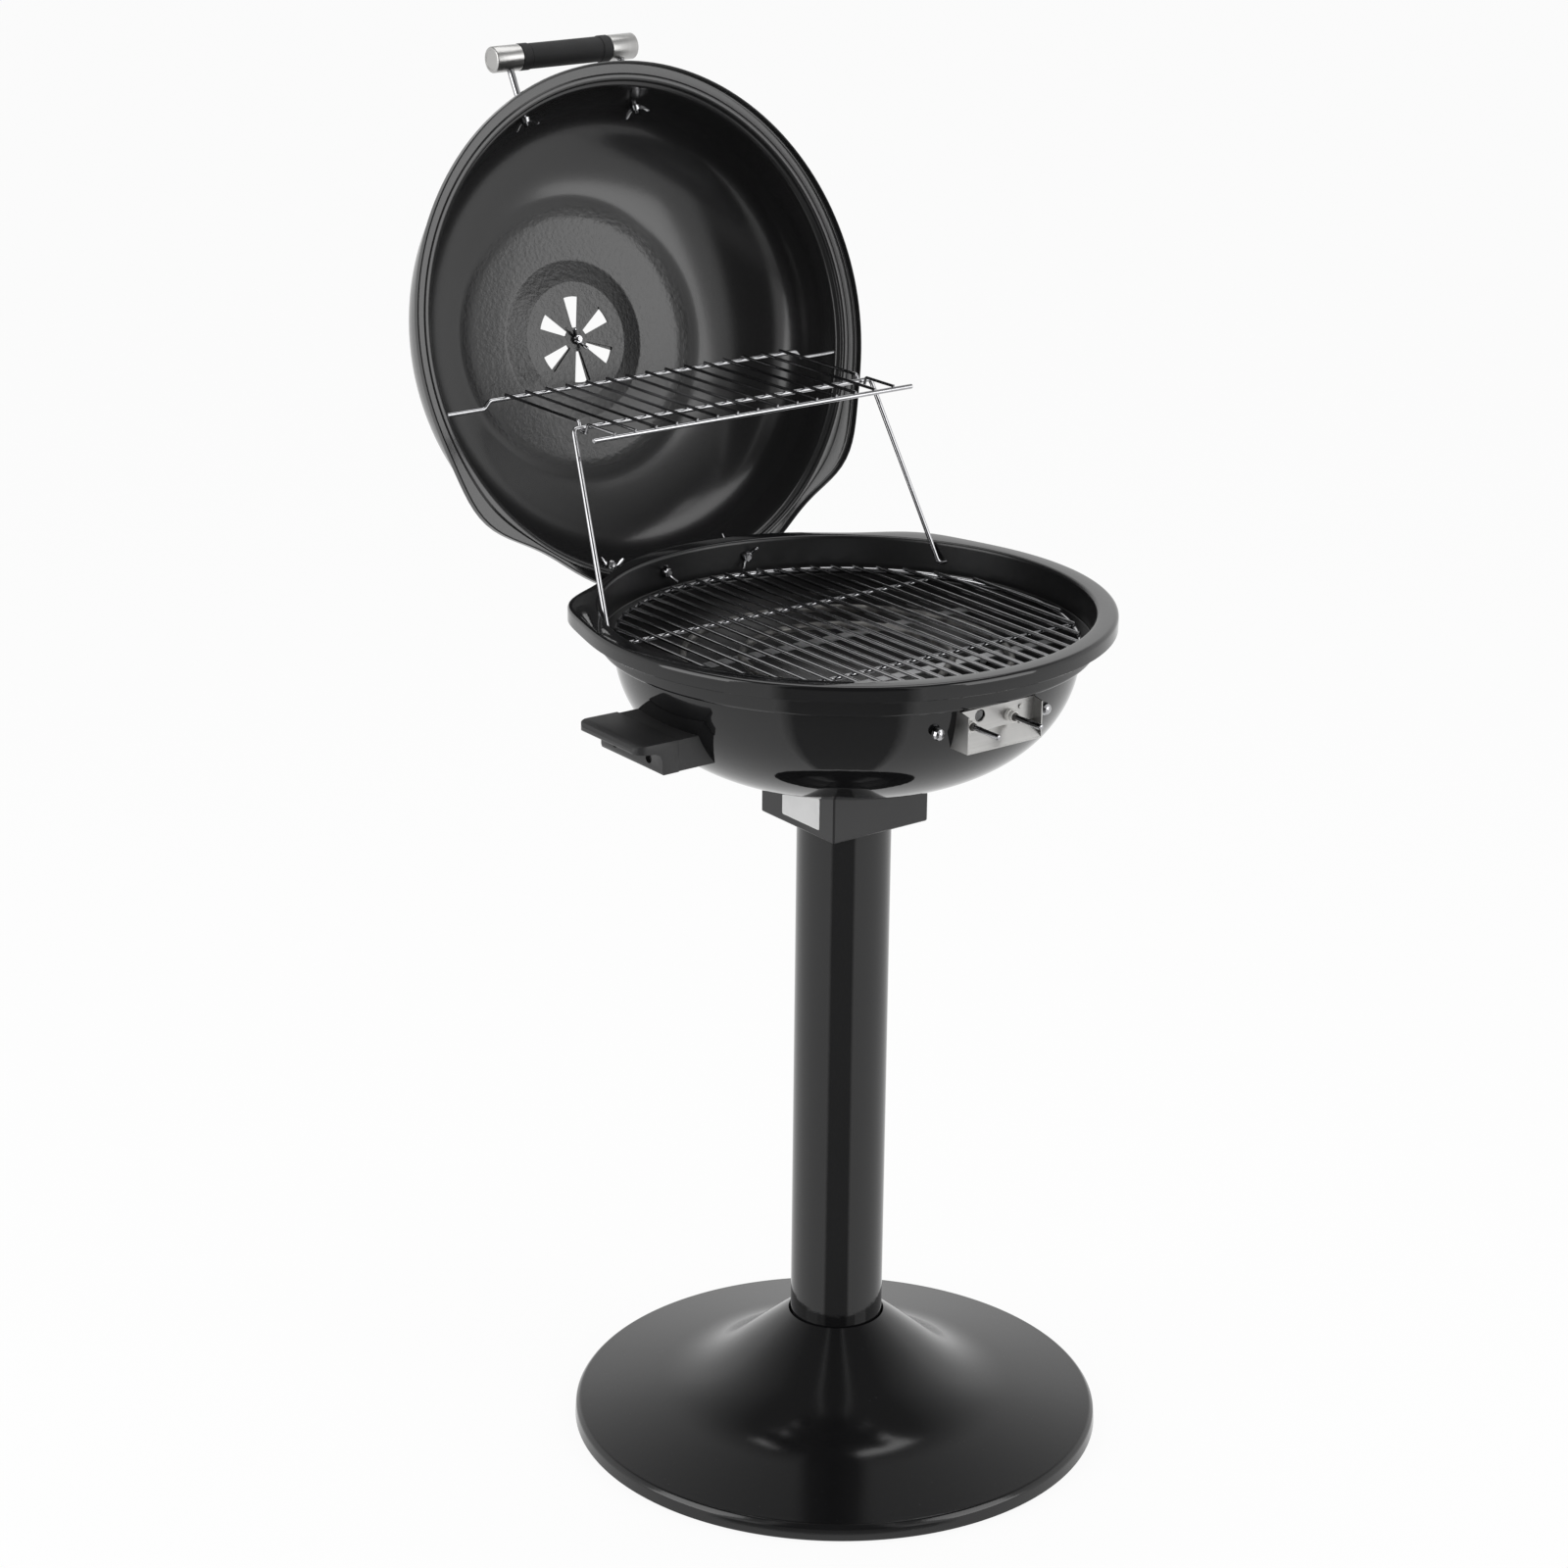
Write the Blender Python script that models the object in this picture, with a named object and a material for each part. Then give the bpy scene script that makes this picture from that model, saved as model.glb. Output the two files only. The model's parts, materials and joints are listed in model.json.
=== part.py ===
# Electric kettle grill on a pedestal stand, with its lid open and its warming rack raised.
# Units are metres. X runs to the right of the grill, -Y to its front, Z up from the floor.
import math

import bmesh
import bpy
from mathutils import Matrix, Vector
from mathutils.geometry import interpolate_bezier

# Clearances
GAP = 0.0003
HOLE_SLACK = 0.0004
HOLE_REACH = 0.014

# Stand
BASE_RADIUS = 0.252
BASE_EDGE_HEIGHT = 0.0155
BASE_EDGE_TAPER = 0.0055
BASE_SLOPE = 0.13
BASE_CROWN = 0.006
BASE_CROWN_WIDTH = 0.100
BASE_FLARE_RADIUS = 0.165
BASE_FLARE_PULL = 0.070
BASE_COLLAR_PULL = 0.030
BASE_COLLAR_LEAN = 0.010
BASE_SHEET = 0.0020
COLLAR_TOP = 0.110
BOTTOM_PLATE_THICKNESS = 0.003
POLE_RADIUS = 0.044
POLE_WALL = 0.0018
SOCKET_WALL = 0.003
SOCKET_HEIGHT = 0.055
SOCKET_FLANGE_RADIUS = 0.072
SOCKET_SCREW_CIRCLE = 0.060

# Box under the bowl
BOX_WIDTH = 0.110
BOX_BOTTOM = 0.6167
BOX_WALL = 0.003
SPIGOT_WALL = 0.002
SPIGOT_LENGTH = 0.045
SPIGOT_FLANGE_WIDTH = 0.006
MOUNT_PLATE_DROP = 0.012
MOUNT_PLATE_THICKNESS = 0.003
BOWL_BOLT_OFFSET = 0.034

# Bowl
SHEET = 0.0015
BOWL_RADIUS = 0.2120
BOWL_DEPTH = 0.1265
BOWL_SIDE_POWER = 2.67
BOWL_BOTTOM_POWER = 2.09
LEDGE_Z = 0.7885
LEDGE_WIDTH = 0.0140
RIM_Z = 0.8220
RIM_RADIUS = 0.2455
RIM_SKIRT = 0.0140

# Ears and necks of the rim outline, behind the side-to-side line
EAR_ANGLE = 37.0
EAR_SIZE = 0.0115
EAR_SPREAD = 11.0
NECK_ANGLE = 51.0
NECK_SIZE = 0.0095
NECK_SPREAD = 14.0

# Lid, measured up from its rim plane when it is closed
LID_RIM_GAP = 0.0012
LID_OVERLAP = 0.0075
LID_SKIRT = 0.007
LID_WALL_RADIUS = 0.2315
LID_DEPTH = 0.1235
LID_POWER = 3.0
LID_BEAD = 0.004
LID_STEP_RADIUS = 0.130
LID_STEP = 0.004
VENT_RECESS_RADIUS = 0.064
VENT_FLOOR_RADIUS = 0.053
VENT_RECESS = 0.006
VENT_SLOTS = 6
VENT_SLOT_INNER = 0.012
VENT_SLOT_OUTER = 0.042
VENT_SLOT_ANGLE = 25.0
DAMPER_RADIUS = 0.047
DAMPER_THICKNESS = 0.0012
DAMPER_TURN = 4.0
OPEN_ANGLE = 105.5

# Hinge and rack linkage, as points in the YZ plane
HINGE_Y = 0.2335
HINGE_Z = 0.7971
HINGE_PIN_RADIUS = 0.0020
PIN_HEAD_RADIUS = 0.0032
PIN_HEAD_HEIGHT = 0.0015
KNUCKLE_RADIUS = 0.0040
KNUCKLE_HALF = 0.0115
KNUCKLE_OUTER = 0.0300
LEAF_THICKNESS = 0.0020
HINGE_BOLT_X = 0.048
HINGE_BOLT_Z = 0.8065
HINGE_LEAF_LOW = 0.7940
HINGE_LEAF_HIGH = 0.8150
HINGE_ARM_REACH = 0.0225
LID_LEAF_LOW = 0.009
LID_LEAF_HIGH = 0.026
LID_BOLT_RISE = 0.017
LID_BOLT_X = 0.069
BAIL_FOOT_Y = 0.1048
BAIL_FOOT_Z = 0.8032
RACK_PIVOT_Y = 0.3173
RACK_PIVOT_Z = 0.9633

# Racks and grates
RACK_DEPTH = 0.1775
RACK_HALF_WIDTH = 0.182
RACK_WIRES = 15
RACK_WIRE_SPAN = 0.320
RACK_ROD_RADIUS = 0.0023
RACK_WIRE_RADIUS = 0.0015
BAIL_RADIUS = 0.0023
HOOK_SLACK = 0.0006
BAIL_MARGIN = 0.011
BAIL_BEND_INSIDE = 0.0082
BAIL_END_REACH = 0.0063
ROD_END_REACH = 0.0035
GRATE_RADIUS = 0.2112
GRATE_RING_RADIUS = 0.0026
GRATE_WIRE_RADIUS = 0.0018
GRATE_WIRES = 25
GRATE_PITCH = 0.0168
GRATE_CROSS_Y = 0.095
GRATE_STEPS = 40
WELD_SINK = 0.0010

# Lid handle
HANDLE_REACH = 0.2715
HANDLE_RISE = 0.0658
POST_TILT = math.radians(14.0)
POST_MISFIT = math.tan(math.radians(10.0))
HANDLE_HALF = 0.081
GRIP_HALF = 0.051
HANDLE_RADIUS = 0.0125
HANDLE_POST_X = 0.0635
HANDLE_POST_RADIUS = 0.0034
HANDLE_CORE_RADIUS = 0.005
POST_COLLAR_RADIUS = 0.0055
POST_COLLAR_HEIGHT = 0.0012

# Side handles
SIDE_SEAM = 0.2215
SIDE_REACH = 0.266
SIDE_TOP = 0.748
SIDE_DROP = 0.0295
SIDE_HALF_WIDTH = 0.0475
SIDE_PLATE = 0.0085
SIDE_WEB = 0.0175
SIDE_SCREW_Y = 0.026
SIDE_POCKET_RADIUS = 0.0045
SIDE_POCKET_DEPTH = 0.0040

# Electrical parts
BRACKET_HALF_WIDTH = 0.042
BRACKET_FRONT = 0.2245
BRACKET_TOP = 0.784
BRACKET_BOTTOM = 0.748
BRACKET_SHEET = 0.0012
BRACKET_SLOPE_RISE = 0.014
PIN_RIGHT_X = 0.0126
PIN_LEFT_X = -0.0350
PIN_Z = 0.772
PIN_REACH = 0.258
PIN_RADIUS = 0.0026
PROBE_X = -0.0200
PROBE_Z = 0.7770
PROBE_RADIUS = 0.0058
RIVET_X = 0.026
RIVET_HEAD_RADIUS = 0.0025
BUSHING_RADIUS = 0.0055
BUSHING_NECK = 0.0047
ELEMENT_RADIUS = 0.0036
ELEMENT_OUTER = 0.150
ELEMENT_INNER = 0.096
RAIL_WIDTH = 0.012
RAIL_THICKNESS = 0.0015
RAIL_Y = 0.062
TRAY_RADIUS = 0.076
TRAY_RIM_RADIUS = 0.152
BRACKET_BOLT_X = 0.0605
BRACKET_BOLT_Z = 0.766
BRACKET_BOLT_HEAD = 0.0058
TRAY_SHEET = 0.0010

# Fasteners
BOLT_RADIUS = 0.0025
BOLT_HEAD_RADIUS = 0.0052
BOLT_HEAD_HEIGHT = 0.0026
WING_BODY_RADIUS = 0.0052
WING_BODY_HEIGHT = 0.0050
WING_REACH = 0.0130
WING_THICKNESS = 0.0018
WING_HEIGHT = 0.0100

# Roundness
ROUND_STEPS = 44
PIPE_STEPS = 32
SMALL_STEPS = 10
SHARP_ANGLE = math.radians(38)


# Derived places
LEDGE_OUTER = BOWL_RADIUS + LEDGE_WIDTH
RACK_RISE = BAIL_FOOT_Z - HINGE_Z
CROSSBAR_Y = RACK_PIVOT_Y + BAIL_FOOT_Y - HINGE_Y
CROSSBAR_Z = RACK_PIVOT_Z + RACK_RISE
RACK_WIRE_Z = CROSSBAR_Z + BAIL_RADIUS + RACK_WIRE_RADIUS + 2 * GAP
LID_RIM_Z = RIM_Z + LID_RIM_GAP
FACET = math.cos(math.pi / ROUND_STEPS)
WALL_HALF = 0.6 * SHEET + GAP
GRATE_Z = LEDGE_Z + SHEET / 2 + GRATE_RING_RADIUS + GAP
HINGE_BOLT_PLACE = Vector((0, 0, HINGE_BOLT_Z))
POLE_TOP = BOX_BOTTOM - GAP
POLE_BOTTOM = 2 * BOTTOM_PLATE_THICKNESS + 2 * GAP


# Scene and materials
def clear_scene():
    for item in list(bpy.data.objects):
        bpy.data.objects.remove(item, do_unlink=True)


def material(name, colour, roughness, metallic=0.0):
    made = bpy.data.materials.get(name)
    if made:
        return made
    made = bpy.data.materials.new(name)
    made.use_nodes = True
    shader = made.node_tree.nodes["Principled BSDF"]
    shader.inputs["Base Color"].default_value = (*colour, 1.0)
    shader.inputs["Roughness"].default_value = roughness
    shader.inputs["Metallic"].default_value = metallic
    made.diffuse_color = (*colour, 1.0)
    return made


def gloss_enamel():
    return material("gloss_black_enamel", (0.012, 0.012, 0.013), 0.18)


def satin_enamel():
    return material("satin_black_paint", (0.020, 0.020, 0.021), 0.35)


def lid_enamel():
    return material("dark_grey_enamel", (0.045, 0.045, 0.047), 0.30)


def black_plastic():
    return material("black_plastic", (0.022, 0.022, 0.023), 0.48)


def rubber():
    return material("black_rubber", (0.025, 0.025, 0.026), 0.75)


def brushed_steel():
    return material("brushed_steel", (0.62, 0.61, 0.60), 0.32, 1.0)


def chrome():
    return material("chrome_wire", (0.78, 0.78, 0.79), 0.12, 1.0)


def black_plate():
    return material("black_zinc_plate", (0.030, 0.030, 0.031), 0.42, 0.6)


def zinc():
    return material("zinc_plate", (0.55, 0.55, 0.56), 0.38, 1.0)


def element_steel():
    return material("element_sheath", (0.16, 0.16, 0.165), 0.45, 0.8)


def ceramic():
    return material("white_ceramic", (0.82, 0.81, 0.78), 0.40)


def aluminium():
    return material("aluminium_pan", (0.70, 0.70, 0.71), 0.42, 1.0)


# Objects from bmesh
def place_mesh(name, mesh, surface, location=(0, 0, 0), parent=None, axis=(0, 0, 1)):
    for polygon in mesh.polygons:
        polygon.use_smooth = True
    mesh.set_sharp_from_angle(angle=SHARP_ANGLE)
    mesh.materials.clear()
    mesh.materials.append(surface)
    placed = bpy.data.objects.new(name, mesh)
    bpy.context.scene.collection.objects.link(placed)
    placed.rotation_mode = "QUATERNION"
    placed.rotation_quaternion = Vector((0, 0, 1)).rotation_difference(Vector(axis))
    placed.location = Vector(location)
    if parent:
        placed.parent = parent
        placed.location -= parent.location
    return placed


def finish_mesh(name, bm, surface, location=(0, 0, 0), parent=None, axis=(0, 0, 1)):
    bmesh.ops.remove_doubles(bm, verts=bm.verts, dist=1e-7)
    bmesh.ops.recalc_face_normals(bm, faces=bm.faces)
    mesh = bpy.data.meshes.new(name)
    bm.to_mesh(mesh)
    bm.free()
    return place_mesh(name, mesh, surface, location, parent, axis)


def pivot(name, location, tilt=0.0):
    empty = bpy.data.objects.new(name, None)
    bpy.context.scene.collection.objects.link(empty)
    empty.location = location
    empty.rotation_euler = (tilt, 0.0, 0.0)
    return empty


def spun(chain, steps, outline=None):
    """Turn a chain of (radius, height) points about the Z axis into a closed solid."""
    bm = bmesh.new()
    verts = [bm.verts.new((r, 0.0, z)) for r, z in chain]
    edges = [bm.edges.new(pair) for pair in zip(verts, verts[1:])]
    if chain[0][0] > 1e-6:
        edges.append(bm.edges.new((verts[-1], verts[0])))
    bmesh.ops.spin(bm, geom=verts + edges, cent=(0, 0, 0), axis=(0, 0, 1), dvec=(0, 0, 0),
                   angle=2 * math.pi, steps=steps, use_duplicate=False)
    bmesh.ops.remove_doubles(bm, verts=bm.verts, dist=1e-6)
    if outline:
        for vert in bm.verts:
            vert.co = outline(vert.co)
    return bm


def turned(name, chain, surface, location=(0, 0, 0), axis=(0, 0, 1), parent=None, steps=SMALL_STEPS):
    return finish_mesh(name, spun(chain, steps), surface, location, parent, axis)


def ring_chain(inner, outer, low, high):
    return [(inner, low), (outer, low), (outer, high), (inner, high)]


def disc_chain(radius, low, high):
    return [(0, low), (radius, low), (radius, high), (0, high)]


def offset_chain(chain, distance):
    """Move an open chain sideways by a distance, with mitred corners."""
    points = [Vector(p) for p in chain]
    moved = []
    for index, point in enumerate(points):
        before = points[max(index - 1, 0)]
        after = points[min(index + 1, len(points) - 1)]
        first = (point - before).normalized() if index else (after - point).normalized()
        second = (after - point).normalized() if index < len(points) - 1 else first
        side = (Vector((first.y, -first.x)) + Vector((second.y, -second.x))).normalized()
        stretch = 1.0 / max(side.dot(Vector((first.y, -first.x))), 0.4)
        spot = point + side * distance * stretch
        moved.append((max(spot.x, 0.0) if point.x > 1e-6 else 0.0, spot.y))
    return moved


def sheet_chain(chain, thickness):
    """Closed profile of a sheet that follows the chain on both sides."""
    return offset_chain(chain, thickness / 2) + offset_chain(chain, -thickness / 2)[::-1]


def wire_mesh(points, radius, sides=6, closed=False):
    curve = bpy.data.curves.new("wire", "CURVE")
    curve.dimensions = "3D"
    curve.bevel_depth = radius
    curve.bevel_resolution = (sides - 4) // 2
    curve.render_resolution_u = 0
    curve.use_fill_caps = True
    spline = curve.splines.new("POLY")
    spline.points.add(len(points) - 1)
    for index, point in enumerate(points):
        spline.points[index].co = (*point, 1.0)
    spline.use_cyclic_u = closed
    holder = bpy.data.objects.new("wire", curve)
    bm = bmesh.new()
    bm.from_mesh(bpy.data.meshes.new_from_object(holder))
    bmesh.ops.remove_doubles(bm, verts=bm.verts, dist=1e-7)
    bpy.data.objects.remove(holder)
    return mesh_of(bm)


def joined_mesh(name, meshes):
    bm = bmesh.new()
    for mesh in meshes:
        bm.from_mesh(mesh)
        bpy.data.meshes.remove(mesh)
    bmesh.ops.recalc_face_normals(bm, faces=bm.faces)
    mesh = bpy.data.meshes.new(name)
    bm.to_mesh(mesh)
    bm.free()
    return mesh


def rounded_path(points, radius, steps=3):
    """Replace each inner corner of a path by an arc."""
    path = [Vector(points[0])]
    for before, corner, after in zip(points, points[1:], points[2:]):
        corner = Vector(corner)
        back = (Vector(before) - corner).normalized()
        ahead = (Vector(after) - corner).normalized()
        reach = radius / math.tan(back.angle(ahead) / 2)
        start, end = corner + back * reach, corner + ahead * reach
        for step in range(steps + 1):
            t = step / steps
            path.append(start * (1 - t) ** 2 + corner * 2 * t * (1 - t) + end * t ** 2)
    path.append(Vector(points[-1]))
    return path


def arc_points(centre, radius, start, end, steps, z):
    angles = [math.radians(start + (end - start) * step / steps) for step in range(steps + 1)]
    return [Vector((centre[0] + radius * math.cos(a), centre[1] + radius * math.sin(a), z)) for a in angles]


def prism(outline, low, high, axis):
    """Extrude a closed outline between two planes. The outline lies square to the axis."""
    bm = bmesh.new()
    places = {"X": lambda a, b: (low, a, b), "Y": lambda a, b: (a, low, b), "Z": lambda a, b: (a, b, low)}
    shift = {"X": (high - low, 0, 0), "Y": (0, high - low, 0), "Z": (0, 0, high - low)}
    face = bm.faces.new([bm.verts.new(places[axis](a, b)) for a, b in outline])
    grown = bmesh.ops.extrude_face_region(bm, geom=[face])
    moved = [item for item in grown["geom"] if isinstance(item, bmesh.types.BMVert)]
    bmesh.ops.translate(bm, verts=moved, vec=shift[axis])
    return bm


def block(low, high):
    bm = bmesh.new()
    size = Vector(high) - Vector(low)
    middle = (Vector(high) + Vector(low)) / 2
    bmesh.ops.create_cube(bm, size=1.0, matrix=Matrix.Translation(middle) @ Matrix.Diagonal((*size, 1.0)))
    return bm


def mesh_of(bm):
    bmesh.ops.recalc_face_normals(bm, faces=bm.faces)
    mesh = bpy.data.meshes.new("piece")
    bm.to_mesh(mesh)
    bm.free()
    return mesh


def rod_mesh(start, end, radius, steps=SMALL_STEPS):
    start, end = Vector(start), Vector(end)
    bm = bmesh.new()
    turn = Vector((0, 0, 1)).rotation_difference(end - start).to_matrix().to_4x4()
    bmesh.ops.create_cone(bm, cap_ends=True, segments=steps, radius1=radius, radius2=radius,
                          depth=(end - start).length, matrix=Matrix.Translation((start + end) / 2) @ turn)
    return mesh_of(bm)


def hole_mesh(place, direction, radius, steps=SMALL_STEPS):
    """Cutter for a hole through a sheet wall: it stands out equally on both sides of a place."""
    reach = Vector(direction) * HOLE_REACH
    return rod_mesh(Vector(place) - reach, Vector(place) + reach, radius, steps)


def tool(target, meshes, operation="DIFFERENCE"):
    """Cut meshes from an object, or fuse them to it, with a Boolean modifier."""
    helper = bpy.data.objects.new(target.name + "_tool", joined_mesh("tool", meshes))
    bpy.context.scene.collection.objects.link(helper)
    helper.hide_render = True
    helper.display_type = "WIRE"
    if target.parent:
        helper.parent = target.parent
        helper.location = -target.parent.location
    modifier = target.modifiers.new(operation.title(), "BOOLEAN")
    modifier.operation = operation
    modifier.solver = "EXACT"
    modifier.object = helper
    return helper


def soften(target, width, segments=2, angle=40.0):
    modifier = target.modifiers.new("Bevel", "BEVEL")
    modifier.width = width
    modifier.segments = segments
    modifier.limit_method = "ANGLE"
    modifier.angle_limit = math.radians(angle)


# Shared shapes
def superellipse_radius(drop, radius, depth, side_power, bottom_power):
    share = min(max(drop / depth, 0.0), 1.0)
    return radius * (1 - share ** bottom_power) ** (1 / side_power)


def between(pairs, value):
    """Read a value off a line through (position, value) pairs."""
    pairs = sorted(pairs)
    for (start, low), (end, high) in zip(pairs, pairs[1:]):
        if value <= end:
            break
    return low + (high - low) * (value - start) / (end - start)


def bowl_radius(z):
    """Middle of the bowl's sheet below the ledge."""
    return between([(height, radius) for radius, height in bowl_chain()], z)


def bowl_floor_z(radius):
    return between(bowl_chain(), radius)


def lid_curve(rise):
    return superellipse_radius(rise, LID_WALL_RADIUS, LID_DEPTH, LID_POWER, LID_POWER)


def lid_wall():
    """Middle line of the lid's side wall, from the top down, as (radius, rise) points."""
    shares = (0.885, 0.80, 0.68, 0.52, 0.34, 0.14)
    return [(lid_curve(LID_DEPTH * share), LID_DEPTH * share) for share in shares]


def lid_radius(rise):
    """Middle of the lid's sheet at a rise above its rim plane."""
    return between([(height, radius) for radius, height in lid_wall()] + [(0.0, LID_WALL_RADIUS)], rise)


def lid_top_z(radius):
    return LID_RIM_Z + LID_DEPTH * (1 - (radius / LID_WALL_RADIUS) ** LID_POWER) ** (1 / LID_POWER)


def bump(angle, centre, size, spread):
    return size * math.exp(-((angle - centre) / spread) ** 2)


def rim_growth(angle):
    """How far the rim's outline stands out of a circle, at an angle in degrees behind the side line."""
    ear = bump(angle, EAR_ANGLE, EAR_SIZE, EAR_SPREAD)
    return ear - bump(angle, NECK_ANGLE, NECK_SIZE, NECK_SPREAD)


def shape_rim(inner, outer):
    """Give points between two radii the rim's outline, fully so at the outer one."""
    def shaped(point):
        radius = math.hypot(point.x, point.y)
        if radius <= inner:
            return point
        share = min((radius - inner) / (outer - inner), 1.0)
        angle = math.degrees(math.atan2(point.y, abs(point.x)))
        grown = radius + share * rim_growth(angle)
        return Vector((point.x * grown / radius, point.y * grown / radius, point.z))
    return shaped


def curve_steps(count):
    return [math.pi / 2 * step / count for step in range(count + 1)]


def bowl_chain(steps=8):
    """Middle line of the bowl's sheet from its centre to the ledge."""
    chain = []
    for angle in curve_steps(steps):
        radius = BOWL_RADIUS * math.sin(angle) ** (2 / BOWL_SIDE_POWER)
        chain.append((radius, LEDGE_Z - BOWL_DEPTH * math.cos(angle) ** (2 / BOWL_BOTTOM_POWER)))
    return chain


def bowl_clearance_mesh():
    """Solid that fills the bowl's outside with the usual gap round it."""
    outside = offset_chain(bowl_chain() + [(BOWL_RADIUS + 0.0001, RIM_Z)], SHEET / 2 + GAP)
    return mesh_of(spun(outside + [(0, RIM_Z)], ROUND_STEPS))


def bolt_chain(shank_radius, shank_length, head_radius=BOLT_HEAD_RADIUS, head_height=BOLT_HEAD_HEIGHT):
    """Round-headed bolt: its head's seat is at height zero, its shank points down."""
    return [(0, -shank_length), (shank_radius, -shank_length), (shank_radius, 0), (head_radius, 0),
            (head_radius, head_height * 0.45), (head_radius * 0.6, head_height), (0, head_height)]


def wing_nut(name, location, axis, parent=None, twist=0.0):
    """Wing nut whose seat is at its location and whose wings stand along its axis."""
    bore = BOLT_RADIUS + GAP
    body = [(bore, 0), (WING_BODY_RADIUS, 0),
            (WING_BODY_RADIUS * 0.8, WING_BODY_HEIGHT), (bore, WING_BODY_HEIGHT)]
    half = WING_THICKNESS / 2
    wings = []
    for side in (-1, 1):
        outline = [(side * (bore + 0.0006), 0.0010), (side * WING_REACH * 0.55, 0.0018),
                   (side * WING_REACH, WING_HEIGHT * 0.78), (side * WING_REACH * 0.88, WING_HEIGHT),
                   (side * WING_REACH * 0.66, WING_HEIGHT * 0.88),
                   (side * (bore + 0.0006), WING_HEIGHT * 0.42)]
        if side < 0:
            outline.reverse()
        wings.append(mesh_of(prism(outline, -half, half, "Y")))
    nut = turned(name, body, chrome(), location, axis, parent, 10)
    helper = tool(nut, wings, "UNION")
    helper.parent = nut.parent
    helper.rotation_mode = "QUATERNION"
    helper.location = nut.location
    turn = Matrix.Rotation(twist, 3, "Z").to_quaternion()
    helper.rotation_quaternion = nut.rotation_quaternion @ turn
    return nut


# Stand
def base_top_z(radius):
    """Height of the base cover's dished top between its edge and its flare."""
    edge = BASE_RADIUS - BASE_EDGE_TAPER
    inward = max((radius - edge + BASE_CROWN_WIDTH) / BASE_CROWN_WIDTH, 0.0)
    return BASE_EDGE_HEIGHT + BASE_SLOPE * (edge - radius) + BASE_CROWN * (1 - inward ** 2)


def base_chain(steps=8):
    """Middle line of the base cover, from its collar over the flare and the dish to its lower edge."""
    edge = BASE_RADIUS - BASE_EDGE_TAPER
    collar = Vector((POLE_RADIUS + GAP + BASE_SHEET / 2, COLLAR_TOP))
    foot = Vector((BASE_FLARE_RADIUS, base_top_z(BASE_FLARE_RADIUS)))
    upper = collar + Vector((BASE_COLLAR_LEAN, -BASE_COLLAR_PULL))
    lower = foot + Vector((-BASE_FLARE_PULL, BASE_SLOPE * BASE_FLARE_PULL))
    chain = [tuple(point[:2]) for point in interpolate_bezier(collar, upper, lower, foot, steps)]
    for share in (0.35, 0.70, 1.0):
        radius = BASE_FLARE_RADIUS + (edge - BASE_FLARE_RADIUS) * share
        chain.append((radius, base_top_z(radius)))
    chain.append((edge + 0.45 * BASE_EDGE_TAPER, BASE_EDGE_HEIGHT - 0.15 * BASE_EDGE_TAPER))
    chain.append((BASE_RADIUS - 0.15 * BASE_EDGE_TAPER, BASE_EDGE_HEIGHT - 0.80 * BASE_EDGE_TAPER))
    return chain + [(BASE_RADIUS, BASE_SHEET / 2 + GAP)]


def build_base():
    bottom = BOTTOM_PLATE_THICKNESS
    inside = BASE_RADIUS - BASE_SHEET / 2 - GAP
    turned("base_cover", sheet_chain(base_chain(), BASE_SHEET), satin_enamel(), steps=ROUND_STEPS)
    plate = turned("base_bottom_plate", disc_chain(inside, 0, bottom), satin_enamel(), steps=ROUND_STEPS)
    sleeve_in = POLE_RADIUS + GAP
    sleeve_out = sleeve_in + SOCKET_WALL
    floor = bottom + GAP
    socket_chain = [(0, floor), (SOCKET_FLANGE_RADIUS, floor), (SOCKET_FLANGE_RADIUS, floor + bottom),
                    (sleeve_out, floor + bottom), (sleeve_out, floor + SOCKET_HEIGHT),
                    (sleeve_in, floor + SOCKET_HEIGHT), (sleeve_in, floor + bottom), (0, floor + bottom)]
    socket = turned("pole_socket", socket_chain, satin_enamel(), steps=PIPE_STEPS)
    holes, plate_holes = [], []
    for number, angle in enumerate((90, 210, 330), 1):
        turn = math.radians(angle)
        x, y = SOCKET_SCREW_CIRCLE * math.cos(turn), SOCKET_SCREW_CIRCLE * math.sin(turn)
        seat = floor + bottom + GAP
        hole = BOLT_RADIUS + GAP
        holes.append(rod_mesh((x, y, floor - 0.001), (x, y, seat + 0.001), hole))
        plate_holes.append(rod_mesh((x, y, 0.001), (x, y, bottom + 0.001), hole))
        turned("socket_screw_%d" % number, bolt_chain(BOLT_RADIUS, seat - 0.0012), zinc(), (x, y, seat))
    tool(socket, holes)
    tool(plate, plate_holes)


def build_pole():
    inner = POLE_RADIUS - POLE_WALL
    turned("pole", ring_chain(inner, POLE_RADIUS, POLE_BOTTOM, POLE_TOP), gloss_enamel(), steps=PIPE_STEPS)


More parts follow.
